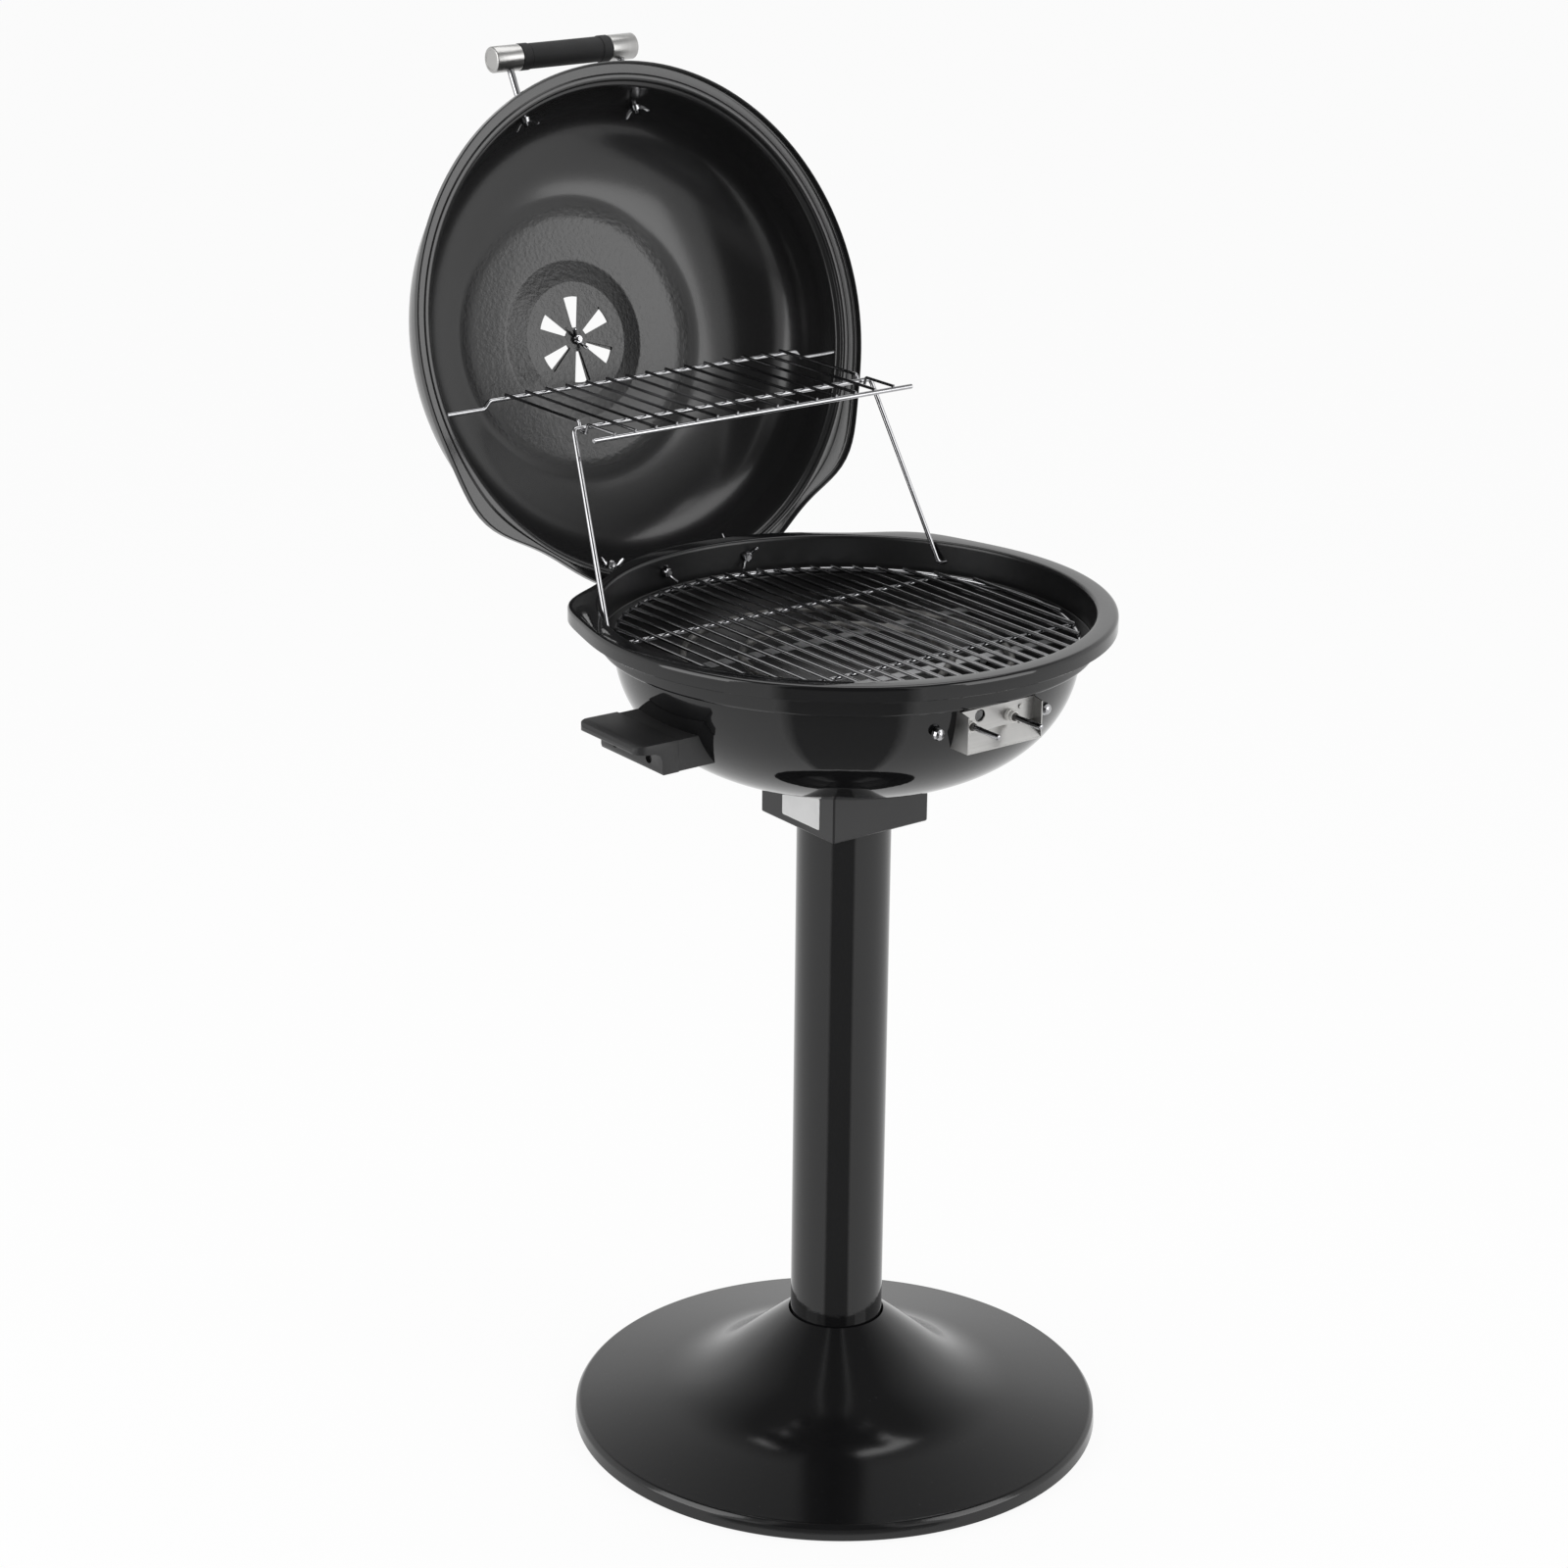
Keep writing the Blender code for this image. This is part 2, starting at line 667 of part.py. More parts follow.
# Box, its spigot and the bowl's mounting
def build_box():
    half = BOX_WIDTH / 2
    top = bowl_floor_z(half * 1.5) + 0.01
    inner = half - BOX_WALL
    spigot_radius = POLE_RADIUS - POLE_WALL - GAP
    box = finish_mesh("support_box", block((-half, -half, BOX_BOTTOM), (half, half, top)), black_plastic())
    soften(box, 0.0015, 1)
    tool(box, [mesh_of(block((-inner, -inner, BOX_BOTTOM + BOX_WALL), (inner, inner, top + 0.01)))])
    tool(box, [bowl_clearance_mesh()])
    tool(box, [rod_mesh((0, 0, BOX_BOTTOM - 0.001), (0, 0, BOX_BOTTOM + BOX_WALL + 0.001),
                        spigot_radius + GAP, PIPE_STEPS)])
    seat = BOX_BOTTOM + BOX_WALL + GAP
    low = BOX_BOTTOM - SPIGOT_LENGTH
    bore = spigot_radius - SPIGOT_WALL
    flange = spigot_radius + SPIGOT_FLANGE_WIDTH
    chain = [(bore, low), (spigot_radius, low), (spigot_radius, seat), (flange, seat),
             (flange, seat + SPIGOT_WALL), (bore, seat + SPIGOT_WALL)]
    turned("box_spigot", chain, zinc(), steps=24)
    build_bowl_mount(inner)


def bowl_bolt_seat():
    """Height of the bowl's inner face where the heads of its four bolts rest."""
    reach = math.hypot(BOWL_BOLT_OFFSET, BOWL_BOLT_OFFSET) + BOLT_HEAD_RADIUS
    return bowl_floor_z(reach / FACET) + WALL_HALF


def build_bowl_mount(inner):
    """Plate across the box, into which four bolts through the bowl are screwed."""
    offset = BOWL_BOLT_OFFSET
    top = bowl_floor_z(0) - SHEET / 2 - MOUNT_PLATE_DROP
    low = top - MOUNT_PLATE_THICKNESS
    edge = inner - GAP
    plate = finish_mesh("bowl_mount_plate", block((-edge, -edge, low), (edge, edge, top)), zinc())
    holes = []
    head_seat = bowl_bolt_seat()
    for number, (sx, sy) in enumerate(((-1, -1), (1, -1), (1, 1), (-1, 1)), 1):
        x, y = sx * offset, sy * offset
        holes.append(rod_mesh((x, y, low - 0.001), (x, y, top + 0.001), BOLT_RADIUS + GAP))
        length = head_seat - low + 0.006
        turned("bowl_bolt_%d" % number, bolt_chain(BOLT_RADIUS, length), zinc(), (x, y, head_seat))
    tool(plate, holes)


# Bowl
def bowl_sheet():
    rim_middle = RIM_RADIUS - SHEET / 2
    top = RIM_Z - SHEET / 2
    chain = bowl_chain()
    chain += [(LEDGE_OUTER - 0.003, LEDGE_Z + 0.0005), (LEDGE_OUTER, LEDGE_Z + 0.004),
              (LEDGE_OUTER, top - 0.004), (LEDGE_OUTER + 0.003, top), (rim_middle - 0.003, top),
              (rim_middle, top - 0.003), (rim_middle, RIM_Z - RIM_SKIRT)]
    return sheet_chain(chain, SHEET)


def build_bowl():
    outline = shape_rim(LEDGE_OUTER + 0.006, RIM_RADIUS - SHEET)
    bowl = finish_mesh("bowl", spun(bowl_sheet(), ROUND_STEPS, outline), gloss_enamel())
    hole = BOLT_RADIUS + HOLE_SLACK
    holes = []
    for sx in (-1, 1):
        for sy in (-1, 1):
            place = (sx * BOWL_BOLT_OFFSET, sy * BOWL_BOLT_OFFSET, bowl_floor_z(0))
            holes.append(hole_mesh(place, (0, 0, 1), hole))
            z = side_screw_z()
            holes.append(hole_mesh((sx * bowl_radius(z), sy * SIDE_SCREW_Y, z), (1, 0, 0), hole))
        direction = radial(HINGE_BOLT_X, LEDGE_OUTER, sx)
        holes.append(hole_mesh(direction * LEDGE_OUTER + HINGE_BOLT_PLACE, direction, hole))
        place = (sx * bail_wall_x(), BAIL_FOOT_Y, BAIL_FOOT_Z)
        holes.append(hole_mesh(place, (1, 0, 0), BAIL_RADIUS + HOLE_SLACK))
        holes.append(front_hole(sx * BRACKET_BOLT_X, BRACKET_BOLT_Z, hole))
    for x in (PIN_LEFT_X, PIN_RIGHT_X):
        holes.append(front_hole(x, PIN_Z, BUSHING_NECK + HOLE_SLACK))
    holes.append(front_hole(PROBE_X, PROBE_Z, PROBE_RADIUS))
    tool(bowl, holes)


def front_hole(x, z, radius):
    return hole_mesh((x, -math.sqrt(bowl_radius(z) ** 2 - x ** 2), z), (0, 1, 0), radius)


def bail_wall_x():
    """Where the bowl's upper wall stands beside the bail's feet."""
    return math.sqrt(LEDGE_OUTER ** 2 - BAIL_FOOT_Y ** 2)


def radial(x, radius, side=1):
    """Unit vector from the axis to the point of a circle at a given X, towards the back."""
    return Vector((side * x / radius, math.sqrt(1 - (x / radius) ** 2), 0))


# Side handles
def side_screw_z():
    return SIDE_TOP - SIDE_DROP * 0.66


def build_side_handles():
    bottom = SIDE_TOP - SIDE_DROP
    for side, word in ((-1, "left"), (1, "right")):
        seam = SIDE_SEAM
        web = seam + SIDE_WEB
        under = SIDE_TOP - SIDE_PLATE
        outline = [(seam, bottom), (web - 0.002, bottom), (web, bottom + 0.004), (web, under - 0.008),
                   (web + 0.0025, under - 0.0025), (web + 0.008, under), (SIDE_REACH - 0.001, under + 0.0015),
                   (SIDE_REACH, under + 0.003), (SIDE_REACH, SIDE_TOP - 0.003),
                   (SIDE_REACH - 0.003, SIDE_TOP - 0.0002),
                   (SIDE_REACH - 0.010, SIDE_TOP + 0.0005), (seam + 0.002, SIDE_TOP), (seam, SIDE_TOP - 0.002)]
        grip = finish_mesh("side_handle_" + word,
                           prism([(side * x, z) for x, z in outline], -SIDE_HALF_WIDTH, SIDE_HALF_WIDTH, "Y"),
                           black_plastic())
        corner = 0.012
        corners = []
        for end in (-1, 1):
            arc = [(SIDE_REACH + 0.01, end * (SIDE_HALF_WIDTH + 0.01)),
                   (SIDE_REACH + 0.01, end * (SIDE_HALF_WIDTH - corner))]
            for step in range(5):
                angle = math.pi / 2 * step / 4
                arc.append((SIDE_REACH - corner * (1 - math.cos(angle)),
                            end * (SIDE_HALF_WIDTH - corner * (1 - math.sin(angle)))))
            arc.append((SIDE_REACH - corner, end * (SIDE_HALF_WIDTH + 0.01)))
            outline = [(side * x, y) for x, y in arc]
            corners.append(mesh_of(prism(outline, bottom - 0.01, SIDE_TOP + 0.01, "Z")))
        tool(grip, corners)
        soften(grip, 0.0012, 1)
        deep = BOWL_RADIUS * 0.7
        seat = [(deep, bottom), (seam - GAP, bottom), (seam - GAP, SIDE_TOP - 0.0008), (deep, SIDE_TOP - 0.0008)]
        width = SIDE_HALF_WIDTH - 0.0015
        spacer = finish_mesh("side_handle_spacer_" + word,
                             prism([(side * x, z) for x, z in seat], -width, width, "Y"), black_plastic())
        tool(spacer, [bowl_clearance_mesh()])
        build_side_screws(grip, spacer, side, word)


def build_side_screws(grip, spacer, side, word):
    z = side_screw_z()
    hole = BOLT_RADIUS + GAP
    grip_holes, spacer_holes = [], []
    for end, place in ((-1, "front"), (1, "back")):
        y = end * SIDE_SCREW_Y
        wall = bowl_radius(z - BOLT_HEAD_RADIUS) * FACET - WALL_HALF
        start = math.sqrt(wall ** 2 - (SIDE_SCREW_Y + BOLT_HEAD_RADIUS) ** 2)
        tip = SIDE_SEAM + SIDE_WEB - 0.005
        grip_holes.append(rod_mesh((side * (SIDE_SEAM - 0.001), y, z), (side * (tip + GAP), y, z), hole))
        outside = SIDE_SEAM + SIDE_WEB
        pocket = (side * (outside - SIDE_POCKET_DEPTH), y, z)
        grip_holes.append(rod_mesh(pocket, (side * (outside + 0.002), y, z), SIDE_POCKET_RADIUS, 16))
        spacer_holes.append(rod_mesh((side * (start - 0.01), y, z), (side * (SIDE_SEAM + 0.001), y, z), hole))
        turned("side_handle_screw_%s_%s" % (word, place), bolt_chain(BOLT_RADIUS, tip - start), zinc(),
               (side * start, y, z), (-side, 0, 0))
    tool(grip, grip_holes)
    tool(spacer, spacer_holes)


# Electrical parts at the front of the bowl
def bracket_back():
    """Distance from the axis to the rear face of the bracket's back plate."""
    return bowl_radius(BRACKET_TOP) + SHEET / 2 + GAP


def build_bracket():
    sheet = BRACKET_SHEET
    back = bracket_back()
    front = BRACKET_FRONT
    low, high = BRACKET_BOTTOM, BRACKET_TOP
    deep = bowl_radius(low) - 0.012
    outer = [(-front, low), (-front, high - 0.0025), (-back, high), (-deep, high), (-deep, low)]
    bracket = finish_mesh("control_bracket", prism(outer, -BRACKET_HALF_WIDTH, BRACKET_HALF_WIDTH, "X"),
                          brushed_steel())
    slope = BRACKET_SLOPE_RISE / (front - back - sheet)
    drop = sheet * math.sqrt(1 + slope ** 2)
    tray = [(-front - 0.01, low + sheet), (-front, low + sheet), (-back - sheet, low + sheet + BRACKET_SLOPE_RISE),
            (-back - sheet, high + 0.01), (-front - 0.01, high + 0.01)]
    under_start = -front + (drop - sheet - 0.001) / slope
    under_end = low + sheet - drop + slope * (front - back)
    behind = [(under_start, low - 0.001), (-back, under_end), (-back, high + 0.01),
              (-deep + 0.01, high + 0.01), (-deep + 0.01, low - 0.001)]
    inside = BRACKET_HALF_WIDTH - sheet
    tool(bracket, [mesh_of(prism(tray, -inside, inside, "X"))])
    tool(bracket, [mesh_of(prism(behind, -inside, inside, "X"))])
    tool(bracket, [bowl_clearance_mesh()])
    holes = [rod_mesh((x, -front, PIN_Z), (x, -back + 0.001, PIN_Z), BUSHING_NECK + GAP)
             for x in (PIN_LEFT_X, PIN_RIGHT_X)]
    holes.append(rod_mesh((PROBE_X, -front, PROBE_Z), (PROBE_X, -back + 0.001, PROBE_Z), PROBE_RADIUS, 16))
    tool(bracket, holes)
    face = -back - sheet
    heads = [rod_mesh((RIVET_X, face + 0.0004, BRACKET_TOP - drop), (RIVET_X, face - 0.0012, BRACKET_TOP - drop),
                      RIVET_HEAD_RADIUS, 10) for drop in (0.007, 0.020)]
    tool(bracket, heads, "UNION")
    build_bracket_bolts()
    build_bushings(back + sheet)


def build_bracket_bolts():
    """Dome-headed bolts through the bowl beside the bracket, with hexagon nuts inside."""
    z = BRACKET_BOLT_Z
    head = BRACKET_BOLT_HEAD
    for side, word in ((-1, "left"), (1, "right")):
        x = side * BRACKET_BOLT_X
        outside = bowl_radius(z + head) + WALL_HALF
        seat = math.sqrt(outside ** 2 - (BRACKET_BOLT_X - head) ** 2)
        within = bowl_radius(z - head) * FACET - WALL_HALF
        nut_seat = math.sqrt(within ** 2 - (BRACKET_BOLT_X + head) ** 2)
        chain = [(0, -(seat - nut_seat) - 0.006), (BOLT_RADIUS, -(seat - nut_seat) - 0.006), (BOLT_RADIUS, 0),
                 (head, 0), (head, 0.0030), (head * 0.86, 0.0054), (head * 0.5, 0.0068), (0, 0.0074)]
        turned("bracket_bolt_" + word, chain, chrome(), (x, -seat, z), (0, -1, 0))
        nut = ring_chain((BOLT_RADIUS + GAP) / math.cos(math.pi / 6), head, GAP, 0.0035)
        turned("bracket_nut_" + word, nut, zinc(), (x, -nut_seat, z), (0, 1, 0), steps=6)


def build_bushings(face):
    bore = ELEMENT_RADIUS + GAP
    inner = face - bowl_radius(PIN_Z) + SHEET / 2 + 0.004
    chain = [(bore, -inner), (BUSHING_NECK, -inner), (BUSHING_NECK, GAP), (BUSHING_RADIUS, GAP),
             (BUSHING_RADIUS, 0.0035), (BUSHING_NECK, 0.0045), (BUSHING_NECK, 0.0085), (bore, 0.0085)]
    for x, word in ((PIN_LEFT_X, "left"), (PIN_RIGHT_X, "right")):
        turned("terminal_bushing_" + word, chain, ceramic(), (x, -face, PIN_Z), (0, -1, 0), steps=16)


def build_element():
    """Tubular element: an outer and an inner loop that end in two terminal pins."""
    z = PIN_Z
    face = bracket_back() + BRACKET_SHEET
    step_y = -(face + 0.0105)
    inside_y = -(bowl_radius(z) - 0.020)
    right = [(PIN_RIGHT_X, inside_y, z), (PIN_RIGHT_X, -ELEMENT_OUTER - 0.014, z)]
    outer = arc_points((0, 0), ELEMENT_OUTER, -68, 232, 22, z)
    inner = arc_points((0, 0), ELEMENT_INNER, 232, -48, 17, z)
    turn_middle = (outer[-1] + inner[0]) / 2
    turn_radius = (ELEMENT_OUTER - ELEMENT_INNER) / 2
    ahead = Vector((-math.sin(math.radians(232)), math.cos(math.radians(232)), 0))
    outward = (outer[-1] - turn_middle).normalized()
    u_turn = [turn_middle + outward * turn_radius * math.cos(a) + ahead * turn_radius * math.sin(a)
              for a in (math.pi * k / 6 for k in range(1, 6))]
    left = [(PIN_LEFT_X, -ELEMENT_INNER - 0.034, z), (PIN_LEFT_X, inside_y, z)]
    entry = rounded_path([right[0], right[1], outer[0]], 0.012)
    leave = rounded_path([inner[-1], (0.022, -ELEMENT_INNER - 0.008, z), left[0], left[1]], 0.014)
    path = [Vector((PIN_RIGHT_X, step_y, z))] + entry[:-1] + outer + u_turn + inner + leave[1:]
    path.append(Vector((PIN_LEFT_X, step_y, z)))
    element = place_mesh("heating_element", wire_mesh(path, ELEMENT_RADIUS, 6), element_steel())
    pins = [rod_mesh((x, step_y + 0.004, z), (x, -PIN_REACH, z), PIN_RADIUS) for x in (PIN_LEFT_X, PIN_RIGHT_X)]
    tool(element, pins, "UNION")


def build_rails():
    """Two flat rails across the bowl carry the element."""
    top = PIN_Z - ELEMENT_RADIUS - GAP
    low = top - RAIL_THICKNESS
    for side, word in ((-1, "front"), (1, "back")):
        edge = RAIL_Y + RAIL_WIDTH / 2
        reach = math.sqrt((bowl_radius(low) * FACET - WALL_HALF) ** 2 - edge ** 2)
        y = side * RAIL_Y
        rail = block((-reach, y - RAIL_WIDTH / 2, low), (reach, y + RAIL_WIDTH / 2, top))
        finish_mesh("element_rail_" + word, rail, zinc())


def build_tray():
    """Drip pan that lies on the bowl's bolt heads and touches the bowl at its rim."""
    sheet = TRAY_SHEET
    floor = bowl_bolt_seat() + BOLT_HEAD_HEIGHT + GAP + sheet / 2
    chain = [(0, floor), (TRAY_RADIUS, floor)]
    for radius in (TRAY_RIM_RADIUS * 0.66, TRAY_RIM_RADIUS * 0.83, TRAY_RIM_RADIUS * 0.96):
        chain.append((radius, bowl_floor_z((radius + sheet) / FACET) + WALL_HALF + 3 * sheet))
    chain.append((TRAY_RIM_RADIUS, chain[-1][1] + sheet))
    turned("drip_pan", sheet_chain(chain, sheet), aluminium(), steps=PIPE_STEPS)


def build_main_grate():
    ring = [Vector((GRATE_RADIUS * math.cos(a), GRATE_RADIUS * math.sin(a), GRATE_Z))
            for a in (2 * math.pi * k / GRATE_STEPS for k in range(GRATE_STEPS))]
    grate = place_mesh("main_grate", wire_mesh(ring, GRATE_RING_RADIUS, 6, closed=True), chrome())
    height = GRATE_Z + GRATE_RING_RADIUS + GRATE_WIRE_RADIUS - WELD_SINK
    wires = []
    for index in range(GRATE_WIRES):
        x = (index - (GRATE_WIRES - 1) / 2) * GRATE_PITCH
        reach = math.sqrt(GRATE_RADIUS ** 2 - x ** 2) + WELD_SINK / 2
        wires.append(rod_mesh((x, -reach, height), (x, reach, height), GRATE_WIRE_RADIUS, 6))
    tool(grate, wires, "UNION")
    cross_z = height - GRATE_WIRE_RADIUS - GRATE_RING_RADIUS + 0.7 * WELD_SINK
    reach = math.sqrt(GRATE_RADIUS ** 2 - GRATE_CROSS_Y ** 2)
    crosses = [rod_mesh((-reach, y, cross_z), (reach, y, cross_z), GRATE_RING_RADIUS * 0.85, 6)
               for y in (-GRATE_CROSS_Y, GRATE_CROSS_Y)]
    tool(grate, crosses, "UNION")


# Hinge
def arc_plate(inner, outer, half_angle, low, high, steps=8):
    """Curved plate at the back of the grill, between two radii."""
    angles = [math.pi / 2 + half_angle * (2 * step / steps - 1) for step in range(steps + 1)]
    outline = [(outer * math.cos(a), outer * math.sin(a)) for a in angles]
    outline += [(inner * math.cos(a), inner * math.sin(a)) for a in reversed(angles)]
    return prism(outline, low, high, "Z")


def build_hinge(lid_pivot):
    bore = rod_mesh((-0.05, HINGE_Y, HINGE_Z), (0.05, HINGE_Y, HINGE_Z), HINGE_PIN_RADIUS + GAP)
    inner = LEDGE_OUTER + SHEET / 2 + GAP
    outer = inner + LEAF_THICKNESS
    half_angle = math.asin((HINGE_BOLT_X + 0.010) / inner)
    lower = finish_mesh("hinge_lower_leaf", arc_plate(inner, outer, half_angle, HINGE_LEAF_LOW, HINGE_LEAF_HIGH),
                        black_plate())
    knuckles, webs = [], []
    for side in (-1, 1):
        near, far = side * (KNUCKLE_HALF + GAP), side * KNUCKLE_OUTER
        knuckles.append(rod_mesh((near, HINGE_Y, HINGE_Z), (far, HINGE_Y, HINGE_Z), KNUCKLE_RADIUS, 16))
        webs.append(mesh_of(block((min(near, far), inner * 0.995, HINGE_Z - 0.002),
                                  (max(near, far), HINGE_Y, HINGE_Z + 0.002))))
    tool(lower, webs, "UNION")
    tool(lower, [bowl_upper_clearance()])
    tool(lower, knuckles, "UNION")
    hole = BOLT_RADIUS + GAP
    holes = [bore.copy()]
    for side in (-1, 1):
        direction = radial(HINGE_BOLT_X, LEDGE_OUTER, side)
        holes.append(rod_mesh(direction * (inner - 0.001) + HINGE_BOLT_PLACE,
                              direction * (outer + 0.001) + HINGE_BOLT_PLACE, hole))
        wing_bolt("bowl_hinge", side, direction, outer + GAP, LEDGE_OUTER * FACET - WALL_HALF,
                  HINGE_BOLT_PLACE)
    tool(lower, holes)
    build_upper_leaf(lid_pivot, bore)
    shoulder, end, head = KNUCKLE_OUTER + GAP, KNUCKLE_OUTER + GAP + PIN_HEAD_HEIGHT, PIN_HEAD_RADIUS
    pin = [(0, -end), (head, -end), (head, -shoulder), (HINGE_PIN_RADIUS, -shoulder),
           (HINGE_PIN_RADIUS, shoulder), (head, shoulder), (head, end), (0, end)]
    turned("hinge_pin", pin, zinc(), (0, HINGE_Y, HINGE_Z), (1, 0, 0))


def bowl_upper_clearance():
    radius = LEDGE_OUTER + SHEET / 2 + GAP
    return mesh_of(spun(disc_chain(radius, LEDGE_Z, RIM_Z), ROUND_STEPS))


def build_upper_leaf(lid_pivot, bore):
    """Leaf that runs from the pin round the lid's skirt to the outside of the lid's wall."""
    low, high = LID_RIM_Z + LID_LEAF_LOW, LID_RIM_Z + LID_LEAF_HIGH
    inner = LID_WALL_RADIUS + WALL_HALF + GAP
    outer = inner + LEAF_THICKNESS
    half_angle = math.asin((LID_BOLT_X + 0.009) / inner)
    leaf = finish_mesh("hinge_upper_leaf", arc_plate(inner, outer, half_angle, low, high, 10), black_plate(),
                       parent=lid_pivot)
    middle = (inner + outer) / 2 + 0.0001
    out_y = HINGE_Y + HINGE_ARM_REACH
    arm = sheet_chain([(HINGE_Y, HINGE_Z), (out_y, HINGE_Z), (out_y, low + 0.003), (middle, low + 0.003),
                       (middle, high - 0.003)], LEAF_THICKNESS)
    tool(leaf, [mesh_of(prism(arm, -KNUCKLE_HALF + 0.0005, KNUCKLE_HALF - 0.0005, "X"))], "UNION")
    tool(leaf, [rod_mesh((-KNUCKLE_HALF, HINGE_Y, HINGE_Z), (KNUCKLE_HALF, HINGE_Y, HINGE_Z), KNUCKLE_RADIUS, 16)],
         "UNION")
    holes = [bore]
    height = Vector((0, 0, LID_RIM_Z + LID_BOLT_RISE))
    for side in (-1, 1):
        direction = radial(LID_BOLT_X, LID_WALL_RADIUS, side)
        holes.append(rod_mesh(direction * (inner - 0.001) + height, direction * (outer + 0.001) + height,
                              BOLT_RADIUS + GAP))
        nut_seat = lid_radius(LID_BOLT_RISE + WING_BODY_RADIUS) * FACET - WALL_HALF
        wing_bolt("lid_hinge", side, direction, outer + GAP, nut_seat, height, lid_pivot)
    tool(leaf, holes)


def wing_bolt(name, side, direction, head_seat, nut_seat, height, parent=None):
    """Bolt with its head outside and a wing nut inside, along a level direction."""
    word = "left" if side < 0 else "right"
    length = head_seat - nut_seat + WING_BODY_HEIGHT + 0.0015
    turned("%s_bolt_%s" % (name, word), bolt_chain(BOLT_RADIUS, length), zinc(), direction * head_seat + height,
           direction, parent)
    wing_nut("%s_wing_nut_%s" % (name, word), direction * nut_seat + height, -direction, parent, 0.7 * side)


# Lid
def lid_sheet():
    top = lid_top_z
    floor = top(VENT_FLOOR_RADIUS) + LID_STEP - VENT_RECESS
    half_way = (VENT_RECESS_RADIUS + LID_STEP_RADIUS) / 2
    chain = [(0, floor), (VENT_FLOOR_RADIUS, floor),
             (VENT_RECESS_RADIUS - 0.001, top(VENT_RECESS_RADIUS) + LID_STEP - 0.0006),
             (VENT_RECESS_RADIUS + 0.003, top(VENT_RECESS_RADIUS) + LID_STEP),
             (half_way, top(half_way) + LID_STEP),
             (LID_STEP_RADIUS - 0.006, top(LID_STEP_RADIUS - 0.006) + LID_STEP),
             (LID_STEP_RADIUS + 0.002, top(LID_STEP_RADIUS + 0.002) + 0.0004)]
    chain += [(radius, LID_RIM_Z + rise) for radius, rise in lid_wall()]
    edge = LID_WALL_RADIUS
    middle = RIM_RADIUS + LID_OVERLAP - SHEET / 2
    chain += [(edge + 0.0004, LID_RIM_Z + LID_BEAD + 0.002), (edge + 0.0036, LID_RIM_Z + LID_BEAD),
              (edge + 0.0052, LID_RIM_Z + SHEET / 2), (middle - 0.002, LID_RIM_Z + SHEET / 2),
              (middle, LID_RIM_Z - 0.0012), (middle, LID_RIM_Z - LID_SKIRT)]
    return sheet_chain(chain, SHEET), floor


def sector(inner, outer, middle, spread, low, high):
    """Wedge-shaped cutter about the Z axis, with an arc at its outer edge."""
    angles = [math.radians(middle + spread * (step / 4 - 0.5)) for step in range(5)]
    outline = [(outer * math.cos(a), outer * math.sin(a)) for a in angles]
    outline += [(inner * math.cos(a), inner * math.sin(a)) for a in (angles[-1], angles[0])]
    return mesh_of(prism(outline, low, high, "Z"))


def vent_cutters(turn, low, high, bolt_radius):
    pitch = 360.0 / VENT_SLOTS
    wedges = [sector(VENT_SLOT_INNER, VENT_SLOT_OUTER, -90 + turn + pitch * k, VENT_SLOT_ANGLE, low, high)
              for k in range(VENT_SLOTS)]
    return wedges + [rod_mesh((0, 0, low), (0, 0, high), bolt_radius)]


def closed_place(y, z):
    """Where a point of the open lid lies when the lid is closed."""
    turn = math.radians(OPEN_ANGLE)
    dy, dz = y - HINGE_Y, z - HINGE_Z
    return HINGE_Y + dy * math.cos(turn) - dz * math.sin(turn), HINGE_Z + dy * math.sin(turn) + dz * math.cos(turn)


def rack_wall_x():
    """Where the lid's wall stands beside the ends of the rack's back rod."""
    y, z = closed_place(RACK_PIVOT_Y, RACK_PIVOT_Z)
    return math.sqrt(lid_radius(z - LID_RIM_Z) ** 2 - y ** 2)


def build_lid(lid_pivot):
    chain, floor = lid_sheet()
    outline = shape_rim(LID_WALL_RADIUS + 0.0065, RIM_RADIUS + LID_OVERLAP - SHEET)
    lid = finish_mesh("lid", spun(chain, ROUND_STEPS, outline), lid_enamel(), parent=lid_pivot)
    hole = BOLT_RADIUS + HOLE_SLACK
    cutters = vent_cutters(0, floor - 0.005, floor + 0.005, hole)
    post_top = Vector((0, -HANDLE_REACH, LID_RIM_Z + HANDLE_RISE))
    post_depth = post_length(0.0)
    rack_y, rack_z = closed_place(RACK_PIVOT_Y, RACK_PIVOT_Z)
    height = Vector((0, 0, LID_RIM_Z + LID_BOLT_RISE))
    for side in (-1, 1):
        spot = post_top + Vector((side * HANDLE_POST_X, 0, 0)) - post_direction() * post_depth
        cutters.append(hole_mesh(spot, post_direction(), hole))
        cutters.append(hole_mesh((side * rack_wall_x(), rack_y, rack_z), (1, 0, 0), RACK_ROD_RADIUS + HOLE_SLACK))
        direction = radial(LID_BOLT_X, LID_WALL_RADIUS, side)
        cutters.append(hole_mesh(direction * lid_radius(LID_BOLT_RISE) + height, direction, hole))
    tool(lid, cutters)
    build_damper(lid_pivot, floor)


